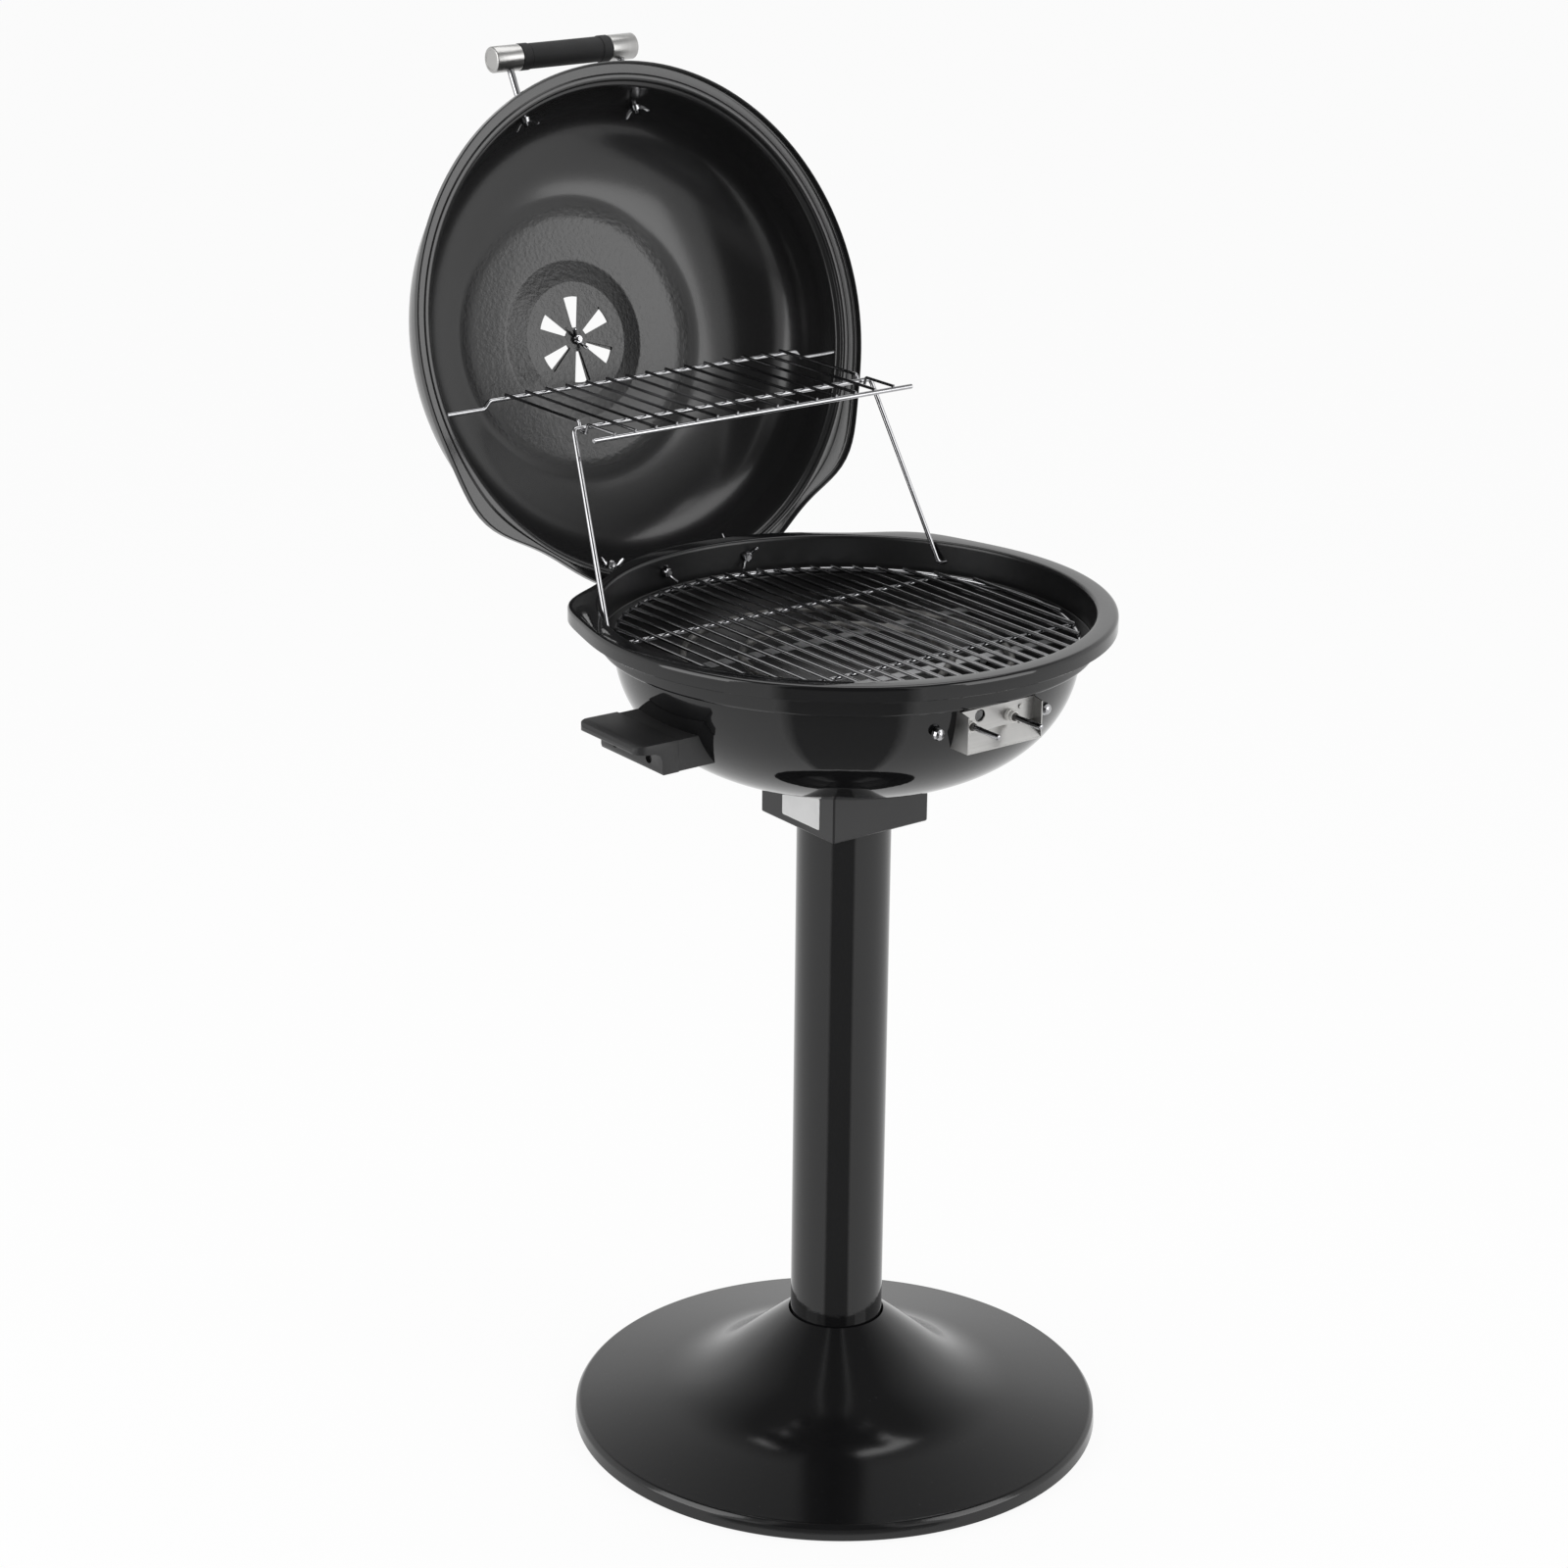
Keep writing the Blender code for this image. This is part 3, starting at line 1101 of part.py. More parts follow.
def build_damper(lid_pivot, floor):
    """Slotted disc that turns on the lid's vent, with a bent-up tab."""
    seat = floor + SHEET / 2 + GAP
    top = seat + DAMPER_THICKNESS
    damper = turned("vent_damper", disc_chain(DAMPER_RADIUS, 0, DAMPER_THICKNESS), lid_enamel(), (0, 0, seat),
                    parent=lid_pivot, steps=PIPE_STEPS)
    tool(damper, vent_cutters(DAMPER_TURN, seat - 0.002, top + 0.002, BOLT_RADIUS + GAP))
    angle = math.radians(-60 + DAMPER_TURN)
    middle = Vector((math.cos(angle), math.sin(angle), 0)) * (DAMPER_RADIUS - 0.0022)
    tab = block((-0.0012, -0.008, seat + 0.0002), (0.0012, 0.008, top + 0.014))
    bmesh.ops.transform(tab, matrix=Matrix.Translation(middle) @ Matrix.Rotation(angle, 4, "Z"), verts=tab.verts)
    tool(damper, [mesh_of(tab)], "UNION")
    under = floor - SHEET / 2 - GAP
    length = top + GAP - under + WING_BODY_HEIGHT + 0.002
    turned("damper_bolt", bolt_chain(BOLT_RADIUS, length), zinc(), (0, 0, top + GAP), (0, 0, 1), lid_pivot)
    wing_nut("damper_wing_nut", (0, 0, under), (0, 0, -1), lid_pivot, 0.5)


# Lid handle
def build_lid_handle(lid_pivot):
    y, z = -HANDLE_REACH, LID_RIM_Z + HANDLE_RISE
    radius = HANDLE_RADIUS
    core = HANDLE_CORE_RADIUS
    length = HANDLE_HALF - GRIP_HALF - GAP
    depth = length - 0.010
    end_step = GRIP_HALF - 0.010
    grip = [(core + GAP, -GRIP_HALF), (radius + 0.0004, -GRIP_HALF), (radius + 0.0004, -end_step),
            (radius - 0.0003, -end_step + 0.0004), (radius - 0.0003, end_step - 0.0004),
            (radius + 0.0004, end_step), (radius + 0.0004, GRIP_HALF), (core + GAP, GRIP_HALF)]
    turned("lid_handle_grip", grip, rubber(), (0, y, z), (1, 0, 0), lid_pivot, 24)
    half = GRIP_HALF + depth
    turned("lid_handle_core", disc_chain(core, -half, half), zinc(), (0, y, z), (1, 0, 0), lid_pivot)
    cap = [(0, depth + 2 * GAP), (core + GAP, depth + 2 * GAP), (core + GAP, 0), (radius, 0),
           (radius, length - 0.0012), (radius - 0.0012, length), (0, length)]
    for side, word in ((-1, "left"), (1, "right")):
        start = side * (GRIP_HALF + GAP)
        piece = turned("lid_handle_cap_" + word, cap, brushed_steel(), (start, y, z), (side, 0, 0), lid_pivot, 24)
        centre = Vector((side * HANDLE_POST_X, y, z))
        hole = rod_mesh(centre - post_direction() * (core + GAP), centre - post_direction() * 0.02,
                        HANDLE_POST_RADIUS + GAP, 16)
        tool(piece, [hole])
        build_post(lid_pivot, centre, word)


def post_direction():
    """Direction of the handle's posts, from the lid's wall out to the handle, on the closed lid."""
    return Vector((0, -math.cos(POST_TILT), math.sin(POST_TILT)))


def post_length(wall_offset, facet=1.0):
    """Distance from the handle's axis back along a post to the lid's wall, moved out by an offset."""
    near, far = 0.02, 0.12
    for _ in range(40):
        length = (near + far) / 2
        spot = Vector((HANDLE_POST_X, -HANDLE_REACH, HANDLE_RISE)) - post_direction() * length
        if math.hypot(spot.x, spot.y) > lid_radius(spot.z) * facet + wall_offset:
            near = length
        else:
            far = length
    return near


def build_post(lid_pivot, centre, word):
    """Threaded post: a collar bears on the lid's wall, and a wing nut holds it from inside."""
    foot = POST_COLLAR_RADIUS
    seat = -(post_length(WALL_HALF) - foot * POST_MISFIT)
    nut_seat = -(post_length(-WALL_HALF, FACET) + WING_BODY_RADIUS * POST_MISFIT + GAP)
    low = nut_seat - WING_BODY_HEIGHT - 0.003
    tip = -(HANDLE_CORE_RADIUS + 2 * GAP)
    chain = [(0, low), (BOLT_RADIUS, low), (BOLT_RADIUS, seat), (foot, seat), (foot, seat + POST_COLLAR_HEIGHT),
             (HANDLE_POST_RADIUS, seat + POST_COLLAR_HEIGHT), (HANDLE_POST_RADIUS, tip), (0, tip)]
    turned("lid_handle_post_" + word, chain, chrome(), centre, post_direction(), lid_pivot, 16)
    wing_nut("lid_handle_wing_nut_" + word, centre + post_direction() * nut_seat, -post_direction(), lid_pivot, 0.9)


# Warming rack and its bail
def build_rack():
    place = (0, RACK_PIVOT_Y, RACK_PIVOT_Z)
    rack_pivot = pivot("rack_pivot", place)
    rod_z = RACK_WIRE_Z - RACK_WIRE_RADIUS - RACK_ROD_RADIUS + WELD_SINK / 2
    end = rack_wall_x() + ROD_END_REACH
    jog = RACK_WIRE_SPAN / 2 + 0.018
    path = [(-end, RACK_PIVOT_Y, RACK_PIVOT_Z), (-jog - 0.006, RACK_PIVOT_Y, RACK_PIVOT_Z),
            (-jog, RACK_PIVOT_Y, rod_z), (jog, RACK_PIVOT_Y, rod_z),
            (jog + 0.006, RACK_PIVOT_Y, RACK_PIVOT_Z), (end, RACK_PIVOT_Y, RACK_PIVOT_Z)]
    back_rod = wire_mesh(rounded_path(path, 0.006, 2), RACK_ROD_RADIUS, 8)
    rack = place_mesh("warming_rack", back_rod, chrome(), parent=rack_pivot)
    tool_place(rack, place)
    front_y = RACK_PIVOT_Y - RACK_DEPTH
    wires = []
    dip = CROSSBAR_Z - BAIL_RADIUS - RACK_WIRE_RADIUS - HOOK_SLACK
    swing = BAIL_RADIUS + RACK_WIRE_RADIUS + HOOK_SLACK
    for index in range(RACK_WIRES):
        x = (index / (RACK_WIRES - 1) - 0.5) * RACK_WIRE_SPAN
        start = (x, RACK_PIVOT_Y + 0.8 * WELD_SINK, RACK_WIRE_Z)
        stop = (x, front_y - 0.8 * WELD_SINK, RACK_WIRE_Z)
        if index in (0, RACK_WIRES - 1):
            hook = [start, (x, CROSSBAR_Y + swing + 0.003, RACK_WIRE_Z), (x, CROSSBAR_Y + swing, dip),
                    (x, CROSSBAR_Y - swing, dip), (x, CROSSBAR_Y - swing - 0.003, RACK_WIRE_Z), stop]
            wires.append(wire_mesh(rounded_path(hook, 0.0022, 2), RACK_WIRE_RADIUS, 6))
        else:
            wires.append(rod_mesh(start, stop, RACK_WIRE_RADIUS, 6))
    tool(rack, wires, "UNION")
    front = rod_mesh((-RACK_HALF_WIDTH, front_y, rod_z), (RACK_HALF_WIDTH, front_y, rod_z), RACK_ROD_RADIUS, 8)
    tool(rack, [front], "UNION")


def tool_place(target, place):
    """Shift a mesh that was drawn in world places so that its origin is the pivot."""
    target.data.transform(Matrix.Translation(-Vector(place)))
    target.location = (0, 0, 0)


def build_bail():
    place = (0, BAIL_FOOT_Y, BAIL_FOOT_Z)
    bail_pivot = pivot("bail_pivot", place)
    half_width = RACK_WIRE_SPAN / 2 + BAIL_MARGIN
    bend = bail_wall_x() - BAIL_BEND_INSIDE
    end = bail_wall_x() + BAIL_END_REACH
    path = [(-end, BAIL_FOOT_Y, BAIL_FOOT_Z), (-bend, BAIL_FOOT_Y, BAIL_FOOT_Z),
            (-half_width, CROSSBAR_Y, CROSSBAR_Z), (half_width, CROSSBAR_Y, CROSSBAR_Z),
            (bend, BAIL_FOOT_Y, BAIL_FOOT_Z), (end, BAIL_FOOT_Y, BAIL_FOOT_Z)]
    mesh = wire_mesh(rounded_path(path, 0.005, 3), BAIL_RADIUS, 8)
    bail = place_mesh("rack_bail", mesh, chrome(), parent=bail_pivot)
    tool_place(bail, place)


def main():
    clear_scene()
    build_base()
    build_pole()
    build_box()
    build_bowl()
    build_side_handles()
    build_bracket()
    build_element()
    build_rails()
    build_tray()
    build_main_grate()
    lid_pivot = pivot("lid_pivot", (0, HINGE_Y, HINGE_Z), -math.radians(OPEN_ANGLE))
    build_hinge(lid_pivot)
    build_lid(lid_pivot)
    build_lid_handle(lid_pivot)
    build_rack()
    build_bail()


main()
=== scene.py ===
# Electric kettle grill on a pedestal stand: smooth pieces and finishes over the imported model.
# Units are metres. X runs to the right of the grill, -Y to its front, Z up from the floor.
import json
import math

import bmesh
import bpy
from mathutils import Matrix, Vector


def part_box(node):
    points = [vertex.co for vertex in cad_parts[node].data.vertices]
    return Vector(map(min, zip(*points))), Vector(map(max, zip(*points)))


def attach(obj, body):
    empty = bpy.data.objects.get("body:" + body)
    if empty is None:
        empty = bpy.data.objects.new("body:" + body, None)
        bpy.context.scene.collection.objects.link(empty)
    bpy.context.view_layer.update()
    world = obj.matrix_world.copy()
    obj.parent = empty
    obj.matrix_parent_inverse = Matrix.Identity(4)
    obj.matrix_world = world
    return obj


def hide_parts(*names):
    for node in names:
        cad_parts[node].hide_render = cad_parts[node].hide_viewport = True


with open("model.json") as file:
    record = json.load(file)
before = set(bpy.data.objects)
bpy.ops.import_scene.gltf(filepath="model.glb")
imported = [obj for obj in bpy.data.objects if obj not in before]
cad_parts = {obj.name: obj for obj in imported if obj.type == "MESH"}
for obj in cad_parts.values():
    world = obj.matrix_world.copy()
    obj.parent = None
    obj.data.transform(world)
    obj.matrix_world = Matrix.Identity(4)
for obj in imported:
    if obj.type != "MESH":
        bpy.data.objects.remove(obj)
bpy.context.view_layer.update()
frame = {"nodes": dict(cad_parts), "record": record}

# Bowl and its rim
SHEET = 0.0015
BOWL_RADIUS = 0.2120
BOWL_DEPTH = 0.1265
BOWL_SIDE_POWER = 2.67
BOWL_BOTTOM_POWER = 2.09
LEDGE_Z = 0.7885
LEDGE_OUTER = 0.2260
RIM_Z = 0.8220
RIM_RADIUS = 0.2455
RIM_SKIRT = 0.0140

# Lid, measured up from its rim plane when it is closed
LID_RIM_Z = 0.8232
LID_OVERLAP = 0.0075
LID_SKIRT = 0.0070
LID_WALL_RADIUS = 0.2315
LID_DEPTH = 0.1235
LID_POWER = 3.0
LID_STEP_RADIUS = 0.130
LID_STEP = 0.004
VENT_RADIUS = 0.053
VENT_CONE = 0.078
VENT_RECESS = 0.006
DAMPER_RADIUS = 0.047
HINGE = Vector((0, 0.2335, 0.7971))
BOWL_HINGE_BOLT_X = 0.048
LID_HINGE_BOLT_X = 0.069
OPEN_ANGLE = 105.5
OPENING = Matrix.Rotation(-math.radians(OPEN_ANGLE), 4, "X")
OPEN_LID = Matrix.Translation(HINGE) @ OPENING @ Matrix.Translation(-HINGE)

# Bracket for the temperature control
PIN_LEFT = -0.0350
PIN_RIGHT = 0.0126
PIN_Z = 0.772
PIN_RADIUS = 0.0026
PIN_HOLE = 0.0051
PROBE_X = -0.0200
PROBE_Z = 0.7770
PROBE_HOLE = 0.0058

# Racks, grate and handles
GRATE_WIRE = 0.0018
GRATE_RING_WIRE = 0.0026
GRATE_CROSS_WIRE = 0.00221
GRATE_CROSS_Y = 0.095
GRATE_GAP = 0.0168
RACK_WIRE = 0.0015
RACK_ROD = 0.0023
RACK_SPAN = 0.320
BAIL_FOOT = (0.1048, 0.8032)
RACK_PIVOT = (0.3173, 0.9633)
RACK_DEPTH = 0.1775
CROSSBAR = (0.1886, 0.9694)
RACK_WIRE_Z = 0.9738
GRATE_RADIUS = 0.2112
HANDLE_REACH = 0.2715
HANDLE_RISE = 0.0658
POST_TILT = math.radians(14.0)
SIDE_TOP = 0.748
SIDE_DROP = 0.0295
SIDE_SEAM = 0.2215
SIDE_REACH = 0.266
SIDE_SCREW_Y = 0.026
SIDE_POCKET_RADIUS = 0.0045
SIDE_POCKET_DEPTH = 0.0040

# Stand
BASE_RADIUS = 0.252
BASE_EDGE = 0.0155
BASE_TAPER = 0.0042
BASE_DISH_SLOPE = 0.19
BASE_CONE_SLOPE = 0.84
BASE_BEND_OUTER = 0.175
BASE_BEND_INNER = 0.090
POLE_RADIUS = 0.044
COLLAR_TOP = 0.110

# Camera, fitted to the photo on an image of 1600 pixels; FIT_SCALE brings the fit's lengths to the real size
CAMERA_AZIMUTH = math.radians(38.1326)
CAMERA_ELEVATION = math.radians(19.5579)
CAMERA_ROLL = math.radians(0.96111)
FIT_SCALE = 1.118
CAMERA_DISTANCE = 3.161118 * FIT_SCALE
LOOK_HEIGHT = 0.579589 * FIT_SCALE
IMAGE_SIZE = 1600.0
FOCAL_PIXELS = 3909.6086
PAN_PIXELS = 61.9353
TILT_PIXELS = -1.00665

# Studio
NEAR = Vector((-math.sin(CAMERA_AZIMUTH), -math.cos(CAMERA_AZIMUTH), 0))
SIDE = Vector((math.cos(CAMERA_AZIMUTH), -math.sin(CAMERA_AZIMUTH), 0))
LIGHT_TARGET = Vector((0, 0.05, 0.72))
AMBIENT_LIGHT = 0.55
CEILING_GREY = 0.13
CARD_HALF_ANGLE = 32.0
# Name, way towards the camera, way to its right, height, width, length, power in watts
SOFTBOXES = (
    ("left_softbox", 1.3, -2.6, 1.7, 1.9, 2.6, 42),
    ("right_softbox", 1.3, 2.7, 1.6, 1.9, 2.6, 38),
    ("top_softbox", -0.7, 0.0, 3.1, 1.8, 1.8, 22),
)


# Shader sums
class Value:
    """A number in a material that takes part in ordinary sums."""

    def __init__(self, tree, socket):
        self.tree = tree
        self.socket = socket

    def join(self, operation, *terms, clamp=False):
        node = self.tree.nodes.new("ShaderNodeMath")
        node.operation = operation
        node.use_clamp = clamp
        for place, term in zip(node.inputs, terms):
            if isinstance(term, Value):
                self.tree.links.new(term.socket, place)
            else:
                place.default_value = term
        return Value(self.tree, node.outputs[0])

    def __add__(self, other):
        return self.join("ADD", self, other)

    def __radd__(self, other):
        return self.join("ADD", other, self)

    def __sub__(self, other):
        return self.join("SUBTRACT", self, other)

    def __rsub__(self, other):
        return self.join("SUBTRACT", other, self)

    def __mul__(self, other):
        return self.join("MULTIPLY", self, other)

    def __rmul__(self, other):
        return self.join("MULTIPLY", other, self)

    def __truediv__(self, other):
        return self.join("DIVIDE", self, other)

    def __pow__(self, other):
        return self.join("POWER", self, other)

    def above(self, low, high):
        """0 below low, 1 above high, and a straight slope between."""
        return self.join("MULTIPLY", self - low, 1.0 / (high - low), clamp=True)


class Finish:
    """One material on a Principled shader."""

    def __init__(self, name, metallic=0.0, specular=0.5, coat=0.0, coat_roughness=0.05):
        self.material = bpy.data.materials.new(name)
        self.material.use_nodes = True
        self.tree = self.material.node_tree
        self.shader = self.tree.nodes["Principled BSDF"]
        self.shader.inputs["Metallic"].default_value = metallic
        self.shader.inputs["Specular IOR Level"].default_value = specular
        self.shader.inputs["Coat Weight"].default_value = coat
        self.shader.inputs["Coat Roughness"].default_value = coat_roughness
        self.coordinates = self.node("TexCoord", {}, {}).outputs["Object"]

    def node(self, kind, settings, sockets):
        made = self.tree.nodes.new("ShaderNode" + kind)
        for word, setting in settings.items():
            setattr(made, word, setting)
        for word, content in sockets.items():
            place = made.inputs[word]
            if isinstance(content, Value):
                self.tree.links.new(content.socket, place)
            elif isinstance(content, bpy.types.NodeSocket):
                self.tree.links.new(content, place)
            else:
                place.default_value = content
        return made

    def stretched(self, scale):
        sockets = {"Vector": self.coordinates, "Scale": scale}
        return self.node("Mapping", {"vector_type": "POINT"}, sockets).outputs["Vector"]

    def noise(self, scale, detail=2.0, stretch=None, rough=0.5):
        place = self.stretched(stretch) if stretch else self.coordinates
        sockets = {"Vector": place, "Scale": scale, "Detail": detail, "Roughness": rough}
        return Value(self.tree, self.node("TexNoise", {}, sockets).outputs[0])

    def cells(self, scale):
        made = self.node("TexVoronoi", {"feature": "F1"}, {"Vector": self.coordinates, "Scale": scale})
        return Value(self.tree, made.outputs["Distance"])

    def colour(self, amount, first, second):
        """Base colour that goes from the first colour to the second."""
        mixed = self.node("Mix", {"data_type": "RGBA"}, {0: amount, 6: (*first, 1.0), 7: (*second, 1.0)})
        self.tree.links.new(mixed.outputs[2], self.shader.inputs["Base Color"])

    def roughness(self, amount):
        self.tree.links.new(amount.socket, self.shader.inputs["Roughness"])

    def bump(self, height, distance, strength=1.0):
        made = self.node("Bump", {}, {"Height": height, "Distance": distance, "Strength": strength})
        self.tree.links.new(made.outputs["Normal"], self.shader.inputs["Normal"])


# Finishes
def gloss_enamel():
    """Mirror-like black baked enamel: faint orange peel, a little dust, a few smears, and duller inside."""
    finish = Finish("gloss_black_enamel", specular=0.5)
    cloud = finish.noise(9.0, 3.0)
    smear = finish.noise(5.0, 2.0, (1.0, 1.0, 0.25)).above(0.52, 0.80)
    dust = finish.noise(950.0, 1.0).above(0.745, 0.80)
    finish.colour(cloud * 0.6 + dust * 0.4, (0.0050, 0.0050, 0.0053), (0.0085, 0.0085, 0.0090))
    faced, spoke = finish.node("TexCoord", {}, {}).outputs["Normal"], finish.stretched((1, 1, 0))
    outward = finish.node("VectorMath", {"operation": "DOT_PRODUCT"}, {0: faced, 1: spoke})
    inside = (0 - Value(finish.tree, outward.outputs["Value"])).above(0.02, 0.10)
    finish.roughness(0.035 + cloud * 0.02 + smear * 0.05 + dust * 0.25 + inside * 0.24)
    finish.bump(finish.noise(150.0, 2.0) + 0.6 * finish.noise(30.0, 1.0), 0.00012, 0.30)
    return finish.material


def satin_paint():
    """Smooth black paint of the base, a little softer than the enamel, with specks of dust."""
    finish = Finish("satin_black_paint", specular=0.5)
    cloud = finish.noise(7.0, 3.0)
    grain = finish.noise(700.0, 2.0)
    dust = finish.noise(420.0, 1.0).above(0.76, 0.80)
    finish.colour(cloud * 0.7 + dust * 0.6, (0.0045, 0.0045, 0.0048), (0.0085, 0.0085, 0.0090))
    finish.roughness(0.10 + cloud * 0.06 + grain * 0.03 + dust * 0.2)
    finish.bump(grain + 0.8 * finish.noise(110.0, 1.0), 0.00010, 0.30)
    return finish.material


def lid_enamel():
    """Dark grey enamel of the lid: smooth on the wall, a marked orange peel on the crown."""
    finish = Finish("dark_grey_enamel", specular=0.5, coat=0.15, coat_roughness=0.10)
    apart = finish.node("SeparateXYZ", {}, {0: finish.coordinates})
    x, y, z = (Value(finish.tree, apart.outputs[k]) for k in range(3))
    middle, axis = OPEN_LID @ Vector((0, 0, LID_RIM_Z)), OPENING @ Vector((0, 0, 1))
    along = (y - middle.y) * axis.y + (z - middle.z) * axis.z
    away_y = (y - middle.y) - along * axis.y
    away_z = (z - middle.z) - along * axis.z
    radius = (x * x + away_y * away_y + away_z * away_z) ** 0.5
    crown = 1 - radius.above(0.124, 0.134)
    peel = finish.noise(210.0, 2.0, rough=0.6)
    cloud = finish.noise(8.0, 3.0)
    finish.colour(cloud * 0.7 + crown * 0.3, (0.011, 0.011, 0.0113), (0.019, 0.019, 0.0195))
    finish.roughness(0.17 + cloud * 0.05 + crown * 0.09)
    finish.bump(peel * (0.08 + crown * 1.0), 0.00080, 0.60)
    return finish.material


def moulded_plastic():
    """Black heat-proof plastic with a fine spark grain."""
    finish = Finish("black_plastic", specular=0.45)
    grain = finish.noise(1500.0, 2.0)
    cloud = finish.noise(14.0, 3.0)
    finish.colour(cloud, (0.013, 0.013, 0.0135), (0.024, 0.024, 0.025))
    finish.roughness(0.34 + grain * 0.10 + cloud * 0.06)
    finish.bump(grain, 0.00012, 0.5)
    return finish.material


def grip_rubber():
    finish = Finish("black_rubber", specular=0.3)
    pores = finish.noise(1200.0, 3.0, rough=0.7)
    cloud = finish.noise(30.0, 2.0)
    finish.colour(cloud, (0.014, 0.014, 0.0145), (0.030, 0.030, 0.031))
    finish.roughness(0.62 + pores * 0.2)
    finish.bump(pores, 0.00025, 0.7)
    return finish.material


def brushed_steel(name, stretch):
    """Brushed stainless steel whose lines run square to the strongest stretch."""
    finish = Finish(name, metallic=1.0)
    lines = finish.noise(1.0, 4.0, stretch, 0.6)
    cloud = finish.noise(25.0, 3.0)
    finish.colour(lines * 0.6 + cloud * 0.4, (0.33, 0.328, 0.322), (0.52, 0.515, 0.505))
    finish.roughness(0.22 + lines * 0.16 + cloud * 0.05)
    finish.bump(lines, 0.00008, 0.6)
    return finish.material


def chrome_wire():
    """Bright chromed wire with slight ripples and a little dulling."""
    finish = Finish("chrome_wire", metallic=1.0)
    cloud = finish.noise(60.0, 3.0)
    ripple = finish.noise(420.0, 2.0)
    finish.colour(cloud, (0.30, 0.30, 0.31), (0.46, 0.46, 0.47))
    finish.roughness(0.06 + cloud * 0.08)
    finish.bump(ripple, 0.00010, 0.4)
    return finish.material


def black_zinc():
    finish = Finish("black_zinc_plate", metallic=0.5)
    cloud = finish.noise(40.0, 4.0)
    finish.colour(cloud, (0.018, 0.018, 0.019), (0.050, 0.050, 0.052))
    finish.roughness(0.34 + cloud * 0.14)
    finish.bump(finish.noise(600.0, 2.0), 0.00012, 0.5)
    return finish.material


def zinc_plate():
    finish = Finish("zinc_plate", metallic=1.0)
    cloud = finish.noise(55.0, 4.0)
    spangle = finish.cells(240.0)
    finish.colour(cloud * 0.7 + spangle * 0.3, (0.40, 0.40, 0.41), (0.66, 0.66, 0.67))
    finish.roughness(0.26 + cloud * 0.18)
    finish.bump(cloud + 0.3 * spangle, 0.00010, 0.5)
    return finish.material


def element_sheath():
    """Heat-darkened steel sheath, mottled along its length."""
    finish = Finish("element_sheath", metallic=0.85)
    mottle = finish.noise(70.0, 4.0)
    finish.colour(mottle.above(0.35, 0.65), (0.085, 0.082, 0.080), (0.23, 0.225, 0.215))
    finish.roughness(0.36 + mottle * 0.2)
    finish.bump(finish.noise(800.0, 2.0), 0.00015, 0.5)
    return finish.material


def white_ceramic():
    finish = Finish("white_ceramic", specular=0.4)
    speck = finish.noise(900.0, 2.0).above(0.66, 0.74)
    finish.colour(speck, (0.80, 0.79, 0.76), (0.62, 0.60, 0.56))
    finish.roughness(0.38 + speck * 0.2)
    finish.bump(finish.noise(700.0, 2.0), 0.00010, 0.5)
    return finish.material


def rolled_aluminium():
    finish = Finish("aluminium_pan", metallic=1.0)
    lines = finish.noise(1.0, 4.0, (6.0, 700.0, 40.0), 0.6)
    cloud = finish.noise(18.0, 3.0)
    finish.colour(lines * 0.5 + cloud * 0.5, (0.56, 0.56, 0.57), (0.76, 0.76, 0.77))
    finish.roughness(0.30 + lines * 0.12 + cloud * 0.10)
    finish.bump(lines + cloud, 0.00012, 0.5)
    return finish.material


def label_foil():
    """Bare silvery plate that stands where a rating plate would be."""
    finish = Finish("bare_label_foil", metallic=0.35, specular=0.5)
    cloud = finish.noise(60.0, 3.0)
    finish.colour(cloud, (0.60, 0.60, 0.60), (0.70, 0.70, 0.70))
    finish.roughness(0.34 + cloud * 0.12)
    finish.bump(finish.noise(900.0, 2.0), 0.00006, 0.4)
    return finish.material


# Profiles in the (radius, height) plane
def offset_line(chain, distance):
    """Move an open chain sideways by a distance, with mitred corners."""
    points = [Vector(p) for p in chain]
    moved = []
    for index, point in enumerate(points):
        before = points[max(index - 1, 0)]
        after = points[min(index + 1, len(points) - 1)]
        first = (point - before).normalized() if index else (after - point).normalized()
        second = (after - point).normalized() if index < len(points) - 1 else first
        side = (Vector((first.y, -first.x)) + Vector((second.y, -second.x))).normalized()
        stretch = 1.0 / max(side.dot(Vector((first.y, -first.x))), 0.5)
        spot = point + side * distance * stretch
        moved.append((max(spot.x, 0.0) if point.x > 1e-6 else 0.0, spot.y))
    return moved


def sheet_loop(chain, thickness):
    """Closed profile of a sheet, with a rounded free edge."""
    upper = offset_line(chain, thickness / 2)
    lower = offset_line(chain, -thickness / 2)[::-1]
    end, before = Vector(chain[-1]), Vector(chain[-2])
    tip = end + (end - before).normalized() * thickness * 0.35
    return upper + [tuple(tip)] + lower


def rounded(points, radius, steps=6):
    """Replace each inner corner of a path by a smooth bend."""
    radii = radius if isinstance(radius, (list, tuple)) else [radius] * (len(points) - 2)
    path = [Vector(points[0])]
    for before, corner, after, bend in zip(points, points[1:], points[2:], radii):
        corner = Vector(corner)
        back, ahead = Vector(before) - corner, Vector(after) - corner
        reach = min(bend / math.tan(back.angle(ahead) / 2), back.length * 0.48, ahead.length * 0.48)
        start, end = corner + back.normalized() * reach, corner + ahead.normalized() * reach
        for step in range(steps + 1):
            t = step / steps
            path.append(start * (1 - t) ** 2 + corner * 2 * t * (1 - t) + end * t ** 2)
    path.append(Vector(points[-1]))
    return path


